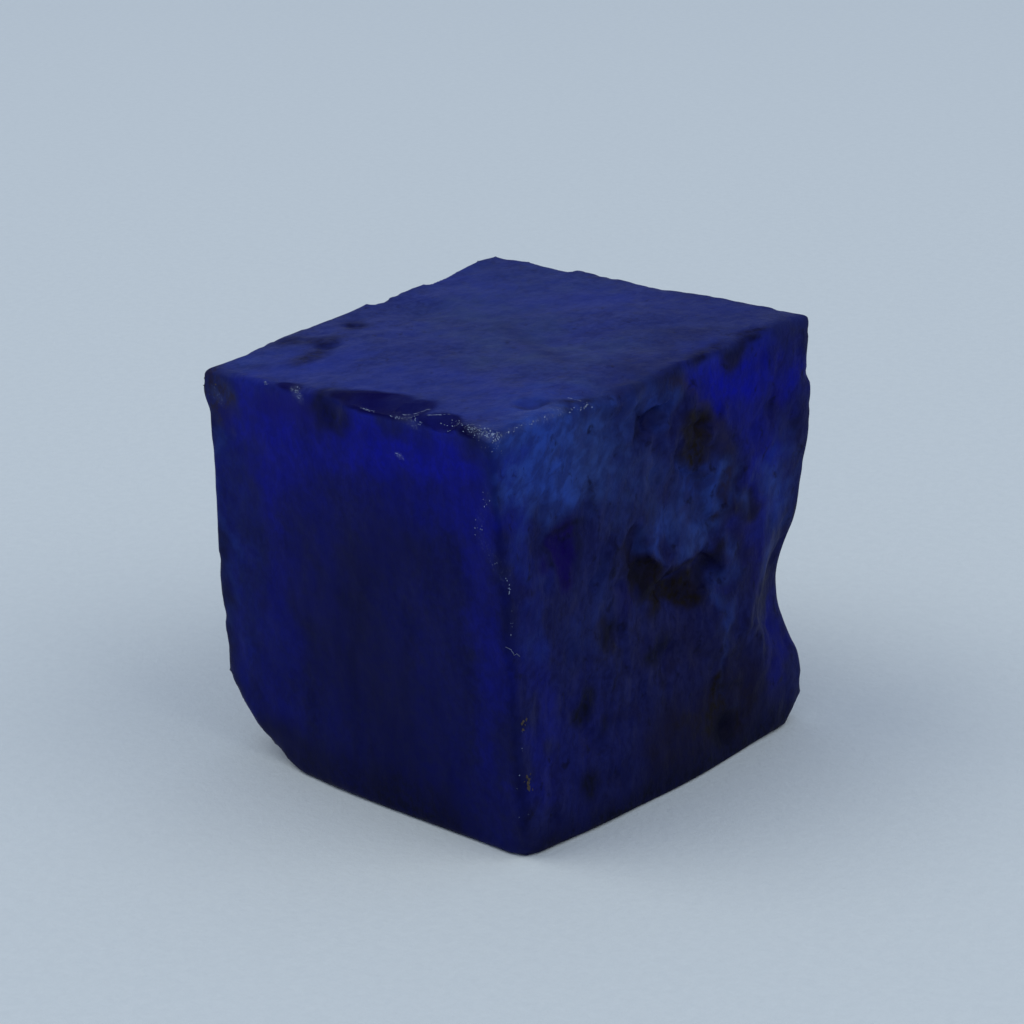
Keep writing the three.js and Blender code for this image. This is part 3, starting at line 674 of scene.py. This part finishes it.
cut_points = points_of(crystal.data) / MM
lowest, highest = cut_points.min(axis=0), cut_points.max(axis=0)
crystal_middle = np.array([*(lowest + highest)[:2] / 2, lowest[2]])
soft_flakes = [name for name in FLAKES if not name.startswith(("front rim", "crushed", "corner"))]
cut_points = softened(cut_points, crystal.data, struck(cut_points, soft_flakes, SOFT_REACH), SOFT_ROUNDS)
worn_share = marked(cut_points, MARKS["worn"]) * (cut_points[:, 2] > FLAT_FOOT)
cut_points = softened(cut_points, crystal.data, worn_share, WORN_ROUNDS)
put_points(crystal.data, cut_points)
shares, to_edge = side_shares(out_of_block(cut_points))
for at, reach, push in LUMPS.values():
    cut_points += bell(cut_points, at, reach)[:, None] * np.array(push)
above = np.clip(cut_points[:, 2] / FOOT_FADE, 0, 1)
warp = drift(cut_points, (1.7, 1.7, 1.9), (83, 97, 103))
warp += 0.5 * drift(cut_points, (0.8, 0.8, 0.8), (151, 157, 163))
warp *= (above * (WARP + ROUGH_WARP * marked(cut_points, MARKS["rough"])))[:, None]
rise = above * relief(cut_points, shares, to_edge)
skin = cut_points + warp + normals_of(crystal.data) * rise[:, None]
skin[:, 2] = np.maximum(skin[:, 2], 0)
put_points(crystal.data, skin - crystal_middle)
crystal.data.shade_smooth()
crystal.data.set_sharp_from_angle(angle=math.radians(CREASE))
_, front_share, _, _, _, top_share = shares.T
beside_front = front_share * (cut_points[:, 0] > 0)
stray = drift(cut_points, (2.4, 2.4, 2.4), (113, 127, 131))
stray += 0.45 * drift(cut_points, (0.8, 0.8, 0.8), (137, 139, 149))
for mask, far in STRAY.items():
    strength = marked(cut_points + far * stray, MARKS[mask])
    if mask in ("frost", "stain"):
        strength *= 1 - beside_front
    store_mask(crystal.data, mask, strength)
store_mask(crystal.data, "front side", front_share)
store_mask(crystal.data, "top side", top_share)
store_mask(crystal.data, "struck", struck(cut_points, RIM_FLAKES, CLEAN_REACH))
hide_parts(NODE)
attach(crystal, "root")

# ---- Finishes --------------------------------------------------------------------------------------------

# Colours of the crystal, as shares of red, green and blue light.
# The glows, the paler and greyer top with its sheen, and the shades are painted light and shade.
TINTS = {
    "front deep": (0.0014, 0.0026, 0.054),
    "front bright": (0.0020, 0.0036, 0.090),
    "front earth": (0.0040, 0.0050, 0.038),
    "front thread": (0.0038, 0.0068, 0.115),
    "front dust": (0.0060, 0.0096, 0.054),
    # the top's colours are paler and greyer than the crystal's own blue: a painted sheen
    "top deep": (0.0148, 0.0244, 0.155),
    "top bright": (0.0180, 0.0300, 0.208),
    "top earth": (0.0170, 0.0205, 0.075),
    "top groove": (0.0075, 0.0130, 0.115),
    "top thread": (0.0285, 0.0450, 0.230),
    "top fleck": (0.0070, 0.0090, 0.062),
    # painted glow on the top
    "top glow": (0.0150, 0.0310, 0.300),
    # painted sheen on the top
    "top sheen": (0.0300, 0.0520, 0.165),
    "top shade": (0.0028, 0.0042, 0.052),
    "slate deep": (0.0036, 0.0048, 0.050),
    "slate bright": (0.0118, 0.0160, 0.100),
    "slate earth": (0.0066, 0.0060, 0.022),
    "slate pale": (0.0210, 0.0235, 0.092),
    "slate cloud": (0.0036, 0.0048, 0.066),
    "frost pale": (0.0258, 0.0545, 0.228),
    "frost blue": (0.0198, 0.0560, 0.335),
    # painted glow, for light coming through the crystal
    "glow": (0.0018, 0.0044, 0.270),
    "violet": (0.0048, 0.0008, 0.080),
    "veil": (0.0170, 0.0150, 0.052),
    "struck": (0.0018, 0.0010, 0.060),
    "stain": (0.0070, 0.0046, 0.0054),
    "shade": (0.0020, 0.0025, 0.0145),
    # painted shade of small pits
    "pit shade": (0.0020, 0.0024, 0.020),
    # broken crystal, and painted glints on the rim
    "crush_and_glint": (0.30, 0.36, 0.52),
}

# Patterns of natural variation on the crystal: how fine each is, the noise at which it starts and at which it
# is full, how far it is drawn out along X, Y and Z, and its lean about X, Y and Z in degrees.
PATTERNS = {
    "cloud": (0.22, 0.34, 0.66, (1, 1, 1.8), (0, 0, 0)),
    "bands": (0.42, 0.3, 0.7, (1, 1, 5), (0, 0, 0)),
    "grooves": (0.6, 0.42, 0.68, (4, 1, 1), (0, 0, 58)),
    "strokes": (1.5, 0.36, 0.66, (1, 1, 1.5), (-42, 0, 0)),
    "streaks": (0.9, 0.36, 0.66, (1, 1, 2.2), (-12, 0, 0)),
    "threads": (2.6, 0.4, 0.62, (1, 1, 1.3), (-12, 0, 0)),
    "pale": (1.2, 0.52, 0.7, (1, 1, 3.4), (-12, 0, 0)),
    "mottle": (0.6, 0.38, 0.62, (1, 1, 1), (0, 0, 0)),
    "earth": (0.8, 0.46, 0.68, (1, 1, 1), (0, 0, 0)),
    "dots": (1.3, 0.58, 0.7, (1, 1, 1.3), (0, 0, 0)),
    "specks": (6, 0.54, 0.66, (1, 1, 1), (0, 0, 0)),
    "flecks": (1.9, 0.6, 0.7, (1, 1, 1), (0, 0, 0)),
    "dust": (2.6, 0.42, 0.66, (1, 1, 1), (0, 0, 0)),
}

# Thin coats of colour on the front, the top and the slate-coloured other sides, from the lowest to the
# highest: the tint, its pattern and its strength.
FRONT_COATS = (
    ("front earth", "earth", 0.3),
    ("front thread", "threads", 0.35),
    ("front dust", "dust", 0.34),
)
TOP_COATS = (
    ("top earth", "earth", 0.42),
    ("top groove", "grooves", 0.5),
    ("top thread", "threads", 0.5),
    ("top fleck", "flecks", 0.75),
)
SLATE_COATS = (
    ("slate earth", "earth", 0.45),
    ("slate pale", "pale", 0.6),
    ("slate cloud", "cloud", 0.35),
)

# Marks of one colour over all sides, from the lowest to the highest: the mark, the least share of it that its
# pattern leaves, and the pattern.
MARK_COATS = (
    ("violet", 0.7, "threads"),
    ("veil", 0.5, "threads"),
    ("struck", 0.7, "cloud"),
    ("stain", 0.72, "threads"),
)


def add(tree, kind, values=None, **settings):
    """A new node with its settings and its inputs: each input is a value, or a socket that feeds it."""
    made = tree.nodes.new("ShaderNode" + kind)
    for name, value in settings.items():
        setattr(made, name, value)
    for name, value in (values or {}).items():
        if isinstance(value, bpy.types.NodeSocket):
            tree.links.new(value, made.inputs[name])
        else:
            made.inputs[name].default_value = value
    return made


def number(tree, operation, first, second):
    return add(tree, "Math", {0: first, 1: second}, operation=operation).outputs[0]


def layer(tree, under, over, share):
    """One colour laid over another. The Mix node takes its share at 0 and its two colours at 6 and 7."""
    colour = add(tree, "Mix", {0: share, 6: under, 7: over}, data_type="RGBA")
    return colour.outputs[2]


def new_group(name, takes, gives):
    """A shader node group with named inputs and their first values, and one output."""
    group = bpy.data.node_groups.new(name, "ShaderNodeTree")
    for title, (kind, value) in takes.items():
        socket = group.interface.new_socket(title, in_out="INPUT", socket_type="NodeSocket" + kind)
        if value is not None:
            socket.default_value = value
    group.interface.new_socket(gives[0], in_out="OUTPUT", socket_type="NodeSocket" + gives[1])
    return group, group.nodes.new("NodeGroupInput").outputs, group.nodes.new("NodeGroupOutput").inputs


def clouding_group():
    """Patches and streaks of natural variation: a mask with its own lean, stretch, fineness and contrast."""
    group, given, out = new_group("clouding", {
        "Place": ("Vector", None),
        "Lean": ("Vector", (0, 0, 0)),
        "Stretch": ("Vector", (1, 1, 1)),
        "Fineness": ("Float", 1),
        "Low": ("Float", 0.35),
        "High": ("Float", 0.65),
    }, ("Mask", "Float"))
    leaned = add(group, "Mapping", {
        "Vector": given["Place"],
        "Rotation": given["Lean"],
        "Scale": given["Stretch"],
    }, vector_type="TEXTURE")
    cloud = add(group, "TexNoise", {
        "Vector": leaned.outputs[0],
        "Scale": given["Fineness"],
        "Detail": 5,
        "Roughness": 0.6,
        "Distortion": 0.4,
    })
    contrast = add(group, "MapRange", {
        "Value": cloud.outputs["Fac"],
        "From Min": given["Low"],
        "From Max": given["High"],
    }, interpolation_type="SMOOTHSTEP")
    group.links.new(contrast.outputs[0], out["Mask"])
    return group


def grain_group():
    """Fine grain on a surface, laid over whatever relief it is given."""
    group, given, out = new_group("grain", {
        "Place": ("Vector", None),
        "Stretch": ("Vector", (1, 1, 1)),
        "Fineness": ("Float", 3),
        "Height": ("Float", 0.02),
        "Under": ("Vector", None),
    }, ("Normal", "Vector"))
    drawn = add(group, "Mapping", {
        "Vector": given["Place"],
        "Scale": given["Stretch"],
    }, vector_type="TEXTURE")
    rise = add(group, "TexNoise", {
        "Vector": drawn.outputs[0],
        "Scale": given["Fineness"],
        "Detail": 6,
        "Roughness": 0.62,
    })
    metres = add(group, "Math", {0: given["Height"], 1: MM}, operation="MULTIPLY")
    bump = add(group, "Bump", {
        "Height": rise.outputs["Fac"],
        "Distance": metres.outputs[0],
        "Normal": given["Under"],
    })
    group.links.new(bump.outputs[0], out["Normal"])
    return group


CLOUDING = clouding_group()
GRAIN = grain_group()


def grouped(tree, group, **values):
    made = tree.nodes.new("ShaderNodeGroup")
    made.node_tree = group
    for name, value in values.items():
        if isinstance(value, bpy.types.NodeSocket):
            tree.links.new(value, made.inputs[name])
        else:
            made.inputs[name].default_value = value
    return made.outputs[0]


def new_material(name, **values):
    """A material with its own shader, and places on its surface in millimetres."""
    material = bpy.data.materials.new(name)
    material.use_nodes = True
    tree = material.node_tree
    shader = tree.nodes["Principled BSDF"]
    for title, value in values.items():
        shader.inputs[title.replace("_", " ")].default_value = value
    metres = add(tree, "TexCoord").outputs["Object"]
    place = add(tree, "VectorMath", {0: metres, "Scale": 1 / MM}, operation="SCALE").outputs[0]
    return material, tree, shader, place


def tanzanite_material():
    """The crystal's finish: a ground and thin coats of colour on each side, and the marks over them."""
    material, tree, shader, place = new_material("rough tanzanite", IOR=1.69, Specular_IOR_Level=0.03)
    tints = {name: (*colour, 1) for name, colour in TINTS.items()}
    patterns = {}
    for name, (fineness, low, high, stretch, lean) in PATTERNS.items():
        turned = tuple(map(math.radians, lean))
        patterns[name] = grouped(
            tree, CLOUDING, Place=place, Lean=turned, Stretch=stretch, Fineness=fineness, Low=low, High=high
        )

    def mask(name):
        return add(tree, "Attribute", attribute_name=name).outputs["Fac"]

    def times(first, second):
        return number(tree, "MULTIPLY", first, second)

    def spread(value, low, high):
        """A value between 0 and 1, carried to between low and high."""
        return add(tree, "MapRange", {"Value": value, "To Min": low, "To Max": high}).outputs[0]

    def part(name, least, pattern):
        """A mask broken up by a pattern, which leaves at least a share of it."""
        return times(mask(name), spread(patterns[pattern], least, 1.0))

    def coated(colour, coats):
        for tint, pattern, strength in coats:
            colour = layer(tree, colour, tints[tint], times(patterns[pattern], strength))
        return colour

    veins = number(tree, "ADD", times(patterns["streaks"], 0.5), times(patterns["threads"], 0.5))
    front = coated(layer(tree, tints["front deep"], tints["front bright"], patterns["bands"]), FRONT_COATS)
    # The top is paler and greyer than the front: a painted sheen of the bright backdrop over the crystal's
    # blue.
    top = coated(layer(tree, tints["top deep"], tints["top bright"], patterns["cloud"]), TOP_COATS)
    # painted glow on the top, for light coming through the crystal
    top = layer(tree, top, tints["top glow"], part("glow", 0.6, "cloud"))
    # painted sheen on the top, a greyish reflection of the backdrop
    top = layer(tree, top, tints["top sheen"], part("sheen", 0.4, "mottle"))
    slate = coated(layer(tree, tints["slate deep"], tints["slate bright"], veins), SLATE_COATS)
    frost = layer(tree, tints["frost pale"], tints["frost blue"], patterns["cloud"])
    colour = layer(tree, slate, front, mask("front side"))
    # painted glow, for light coming through the clearer crystal
    colour = layer(tree, colour, tints["glow"], part("glow", 0.7, "threads"))
    colour = layer(tree, colour, top, mask("top side"))
    colour = layer(tree, colour, frost, part("frost", 0.45, "strokes"))
    for name, least, pattern in MARK_COATS:
        colour = layer(tree, colour, tints[name], part(name, least, pattern))
    # painted shade, bluer on the top, for pits, pockets, chips, thick crystal and the foot
    dark = layer(tree, tints["shade"], tints["top shade"], mask("top side"))
    colour = layer(tree, colour, dark, part("shade", 0.6, "threads"))
    # painted shade of small pits: dark dots on the sides other than the front and the top
    other_sides = number(tree, "SUBTRACT", 1.0, number(tree, "MAXIMUM", mask("front side"), mask("top side")))
    pit_shade = times(times(other_sides, patterns["dots"]), 0.7)
    colour = layer(tree, colour, tints["pit shade"], pit_shade)
    # crushed specks and painted glints along the struck rim
    colour = layer(tree, colour, tints["crush_and_glint"], part("crush_and_glint", 0.2, "specks"))
    tree.links.new(colour, shader.inputs["Base Color"])

    # Roughness: least on the front, streaked, and most where the rim is struck.
    dull = spread(mask("front side"), 0.52, 0.36)
    dull = number(tree, "ADD", dull, spread(patterns["streaks"], -0.06, 0.08))
    dull = number(tree, "ADD", dull, times(mask("struck"), 0.25))
    tree.links.new(dull, shader.inputs["Roughness"])

    # Height of the grain in millimetres: least on the front, less on the top than on the other sides.
    smooth = number(tree, "MAXIMUM", times(mask("front side"), 0.93), times(mask("top side"), 0.35))
    coarse = spread(smooth, 0.1, 0.008)
    skin_normal = add(tree, "NewGeometry").outputs["Normal"]
    broad = grouped(
        tree, GRAIN, Place=place, Stretch=(1, 1, 1.8), Fineness=1.8, Height=coarse, Under=skin_normal
    )
    fine = grouped(tree, GRAIN, Place=place, Fineness=7, Height=times(coarse, 0.25), Under=broad)
    tree.links.new(fine, shader.inputs["Normal"])
    return material


crystal.data.materials.clear()
crystal.data.materials.append(tanzanite_material())

# ---- Grains and fibre on the skin ------------------------------------------------------------------------

# Lines of grains, in millimetres: the places on a line, how far they scatter, how many, their size, and how
# much longer they are along the line.
# white grains: broken crystal at the corner and down the front edge, and painted glints on the struck rim
WHITE_GRAINS_AND_GLINTS = (
    (((9.4, -12.9, 25), (10.6, -12.9, 24.9), (11.9, -12.9, 24.7)), 0.17, 120, 0.034, 1.5),
    (((10.8, -12.9, 24.5), (12, -13, 24.1)), 0.26, 16, 0.028, 1),
    (((7.4, -12.9, 25.2), (9, -13, 25.2)), 0.16, 20, 0.034, 1.8),
    (((5.2, -12.9, 24.7), (6.2, -13, 24.5)), 0.1, 16, 0.034, 2),
    (((3.9, -12.9, 24.8), (4.5, -12.9, 24.7)), 0.1, 12, 0.034, 1.6),
    (((1.5, -12.8, 24.8), (2.6, -12.9, 24.7)), 0.1, 20, 0.034, 1.6),
    (((-4.2, -12.7, 24.5), (-3.4, -12.7, 23.9)), 0.1, 30, 0.036, 1.4),
    (((-6.8, -12.6, 24.3), (-6.5, -12.6, 24.2)), 0.07, 12, 0.038, 1.2),
    (((3.9, -12.9, 22.35), (4.6, -12.9, 22.2)), 0.015, 5, 0.026, 4),
    (((4.2, -12.5, 24.7), (6, -11.6, 25.2)), 0.015, 16, 0.026, 5),
    (((6.2, -12.6, 24.7), (7.4, -11.9, 25.2)), 0.015, 10, 0.026, 5),
    (((12, -12.2, 25), (12.1, -9, 25)), 0.12, 14, 0.024, 3),
    (((12.1, -7.4, 25), (12.1, -5.4, 24.9)), 0.12, 12, 0.028, 2),
    (((10.7, -6.3, 25.1), (11.9, -5.8, 25.1), (12.6, -6.5, 25)), 0.03, 16, 0.026, 3),
    (((11, -13, 21.6), (10.7, -13, 20.9)), 0.2, 6, 0.032, 1.2),
    (((10.2, -12.9, 19.9), (10.1, -12.9, 18.8)), 0.16, 7, 0.034, 1.2),
    (((11.2, -12.9, 18.2), (11.5, -12.9, 17.4)), 0.24, 5, 0.03, 1.2),
    (((12.2, -12.9, 16.9), (12.45, -12.8, 16.4), (12.2, -12.8, 16)), 0.07, 12, 0.03, 2),
    (((12.3, -12.7, 14.8), (12.4, -12.7, 13.6)), 0.2, 5, 0.03, 1.4),
    (((12.4, -12.6, 11), (12.4, -12.5, 3)), 0.2, 7, 0.026, 1),
)
BROWN_GRAINS = (
    (((12.35, -12.2, 8.6), (12.45, -12.2, 7.8)), 0.1, 8, 0.1, 1.2),
    (((12.4, -12.2, 5.2), (12.5, -12.1, 4.4)), 0.14, 16, 0.11, 1.2),
    (((-12.1, -12.6, 23.4), (-11.4, -12.6, 22)), 0.4, 6, 0.07, 1),
)
FIBRE = (
    (11.9, -13, 12.9),
    (12.35, -12.95, 12.75),
    (12.7, -12.75, 12.4),
    (12.8, -12.5, 12.45),
    (12.75, -12.2, 12.1),
)
FIBRE_RADIUS = 0.014
FIBRE_SIDES = 6  # the faces at its ends are made for six
FIBRE_STEPS = 4  # steps along each leg of the fibre


def plain_material(name, colour, roughness, darkest=0.5):
    """A plain colour, mottled down to a share of itself."""
    material, tree, shader, place = new_material(name, Roughness=roughness)
    spots = grouped(tree, CLOUDING, Place=place, Fineness=4, Low=0.36, High=0.68)
    darker = tuple(part * darkest for part in colour)
    tree.links.new(layer(tree, (*darker, 1), (*colour, 1), spots), shader.inputs["Base Color"])
    return material


def grains(name, lines, seed, material):
    """Angular grains scattered along lines on the skin and half sunk into it, all in one mesh."""
    random = np.random.default_rng(seed)
    ends = np.array([(1, 0, 0), (-1, 0, 0), (0, 1, 0), (0, -1, 0), (0, 0, 1), (0, 0, -1)])
    sides = np.array([(x, y, z) for x in (0, 1) for y in (2, 3) for z in (4, 5)])
    first, second, third = ends[sides.T]
    inward = np.sum(np.cross(second - first, third - first) * first, axis=1) < 0
    sides[inward] = sides[inward][:, ::-1]
    points, faces = [], []
    for line, scatter, count, size, longer in lines:
        stops = np.array(line)
        for _ in range(count):
            leg = random.integers(len(stops) - 1)
            run = stops[leg + 1] - stops[leg]
            place = stops[leg] + run * random.random() + random.normal(0, scatter, 3) - crystal_middle
            spot, facing = nearest_skin(place)
            along = run / np.linalg.norm(run) - facing * (run @ facing) / np.linalg.norm(run)
            along /= np.linalg.norm(along)
            axes = np.stack([along * longer, np.cross(facing, along), facing * 0.6])
            shape = ends * (size * random.uniform(0.45, 1.2)) + random.normal(0, size * 0.2, ends.shape)
            faces.append(sides + len(points) * len(ends))
            points.append(shape @ axes + spot)
    made = mesh_object(name, np.concatenate(points), np.concatenate(faces))
    made.data.materials.append(material)
    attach(made, "root")


def nearest_skin(place):
    """The nearest place on the crystal's skin, and the way that the skin faces there."""
    spot, facing, _, _ = crystal_tree.find_nearest(Vector(place * MM))
    return np.array(spot) / MM, np.array(facing)


def fibre(name, line, radius, material):
    """A thin bent fibre lying on the skin."""
    stops = []
    for start, end in zip(line[:-1], line[1:]):
        for step in range(FIBRE_STEPS):
            along = (np.array(end) - np.array(start)) * step / FIBRE_STEPS
            spot, facing = nearest_skin(np.array(start) + along - crystal_middle)
            stops.append(spot + facing * radius * 1.2)
    stops = np.array(stops)
    runs = np.gradient(stops, axis=0)
    runs /= np.linalg.norm(runs, axis=1)[:, None]
    across = np.cross(runs, (0.3, -0.6, 0.74))
    across /= np.linalg.norm(across, axis=1)[:, None]
    over = np.cross(runs, across)
    points, faces = [], []
    for stop, aside, above in zip(stops, across, over):
        for corner in range(FIBRE_SIDES):
            turn = 2 * math.pi * corner / FIBRE_SIDES
            points.append(stop + radius * (aside * math.cos(turn) + above * math.sin(turn)))
    last = (len(stops) - 1) * FIBRE_SIDES
    for ring in range(0, last, FIBRE_SIDES):
        for corner in range(FIBRE_SIDES):
            beside = ring + (corner + 1) % FIBRE_SIDES
            faces.append([ring + corner, beside, beside + FIBRE_SIDES, ring + corner + FIBRE_SIDES])
    faces += [[3, 2, 1, 0], [0, 5, 4, 3]]
    faces += [[last, last + 1, last + 2, last + 3], [last + 3, last + 4, last + 5, last]]
    made = mesh_object(name, np.array(points), np.array(faces))
    made.data.shade_smooth()
    made.data.materials.append(material)
    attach(made, "root")


crystal_tree = BVHTree.FromPolygons(
    [point.co for point in crystal.data.vertices],
    [face.vertices for face in crystal.data.polygons],
)
# pale grains of broken crystal, and painted glints on the rim
white = plain_material("crushed crystal and glints", (0.38, 0.48, 0.76), 0.35, 0.25)
grains("crushed_grains_and_glints", WHITE_GRAINS_AND_GLINTS, 5, white)
grains("earth_grains", BROWN_GRAINS, 8, plain_material("brown earth", (0.070, 0.050, 0.034), 0.8))
fibre("dust_fibre", FIBRE, FIBRE_RADIUS, plain_material("pale fibre", (0.20, 0.24, 0.42), 0.6))

# ---- Floor, light and camera -----------------------------------------------------------------------------

# The lengths here are in metres, apart from the lens and its sensor, which are in millimetres.
FLOOR_RADIUS = 0.8
SKY = (0.81, 0.94, 1.18, 1)
SKY_STRENGTH = 0.415
LAMP_COLOUR = (0.98, 0.98, 0.86)
PITCH = math.radians(20.181)  # how far the camera looks down
TURN = math.radians(43.342)  # how far round from the front face it stands
ROLL = math.radians(-1.785)
LENS = 105
SENSOR = 36
CAMERA_DISTANCE = 0.177323
STONE_MIDDLE = Vector((0, 0, 0.0125))
AIM_RIGHT = 0.000106  # how far right of the stone's middle the camera aims
AIM_UP = 0.001668  # how far above the stone's middle it aims


def paper_material():
    material, tree, shader, place = new_material("pale paper", Roughness=0.9, Specular_IOR_Level=0.2)
    fibres = grouped(tree, CLOUDING, Place=place, Fineness=1.4, Low=0.3, High=0.7)
    colour = layer(tree, (0.722, 0.786, 0.842, 1), (0.744, 0.808, 0.862, 1), fibres)
    tree.links.new(colour, shader.inputs["Base Color"])
    flat = add(tree, "NewGeometry").outputs["Normal"]
    grain = grouped(tree, GRAIN, Place=place, Fineness=2.2, Height=0.05, Under=flat)
    tree.links.new(grain, shader.inputs["Normal"])
    return material


bpy.ops.mesh.primitive_circle_add(vertices=96, radius=FLOOR_RADIUS, fill_type="NGON")
floor = bpy.context.object
floor.name = "floor"
floor.data.materials.append(paper_material())

world = bpy.data.worlds.new("studio")
bpy.context.scene.world = world
world.use_nodes = True
sky = world.node_tree.nodes["Background"]
sky.inputs["Color"].default_value = SKY
sky.inputs["Strength"].default_value = SKY_STRENGTH


def direction(turn, pitch):
    """The way from the stone to a place at an angle round from the front face and an angle up."""
    return Vector((math.sin(turn) * math.cos(pitch), -math.cos(turn) * math.cos(pitch), math.sin(pitch)))


def softbox(name, turn, pitch, distance, size, power):
    """A round soft light, aimed at the stone, at an angle round from the camera and an angle up."""
    lamp = bpy.data.lights.new(name, "AREA")
    lamp.shape = "DISK"
    lamp.size = size
    lamp.energy = power
    lamp.color = LAMP_COLOUR
    made = bpy.data.objects.new(name, lamp)
    bpy.context.scene.collection.objects.link(made)
    away = direction(TURN + math.radians(turn), math.radians(pitch))
    made.location = STONE_MIDDLE + away * distance
    made.rotation_euler = away.to_track_quat("Z", "Y").to_euler()


softbox("left softbox", -88, 56, 1.0, 0.7, 2.35)
softbox("right softbox", 62, 47, 1.0, 0.85, 2.25)

camera_back = direction(TURN, PITCH)
level_right = Vector((math.cos(TURN), math.sin(TURN), 0))
level_up = camera_back.cross(level_right)
camera_right = math.cos(ROLL) * level_right + math.sin(ROLL) * level_up
camera_up = math.cos(ROLL) * level_up - math.sin(ROLL) * level_right
lens = bpy.data.cameras.new("camera")
lens.lens = LENS
lens.sensor_width = SENSOR
lens.clip_start = 0.005
camera = bpy.data.objects.new("camera", lens)
bpy.context.scene.collection.objects.link(camera)
aim = STONE_MIDDLE + camera_right * AIM_RIGHT + camera_up * AIM_UP
turned = Matrix((camera_right, camera_up, camera_back)).transposed().to_4x4()
camera.matrix_world = Matrix.Translation(aim + camera_back * CAMERA_DISTANCE) @ turned
bpy.context.scene.camera = camera
bpy.context.scene.view_settings.view_transform = "Standard"
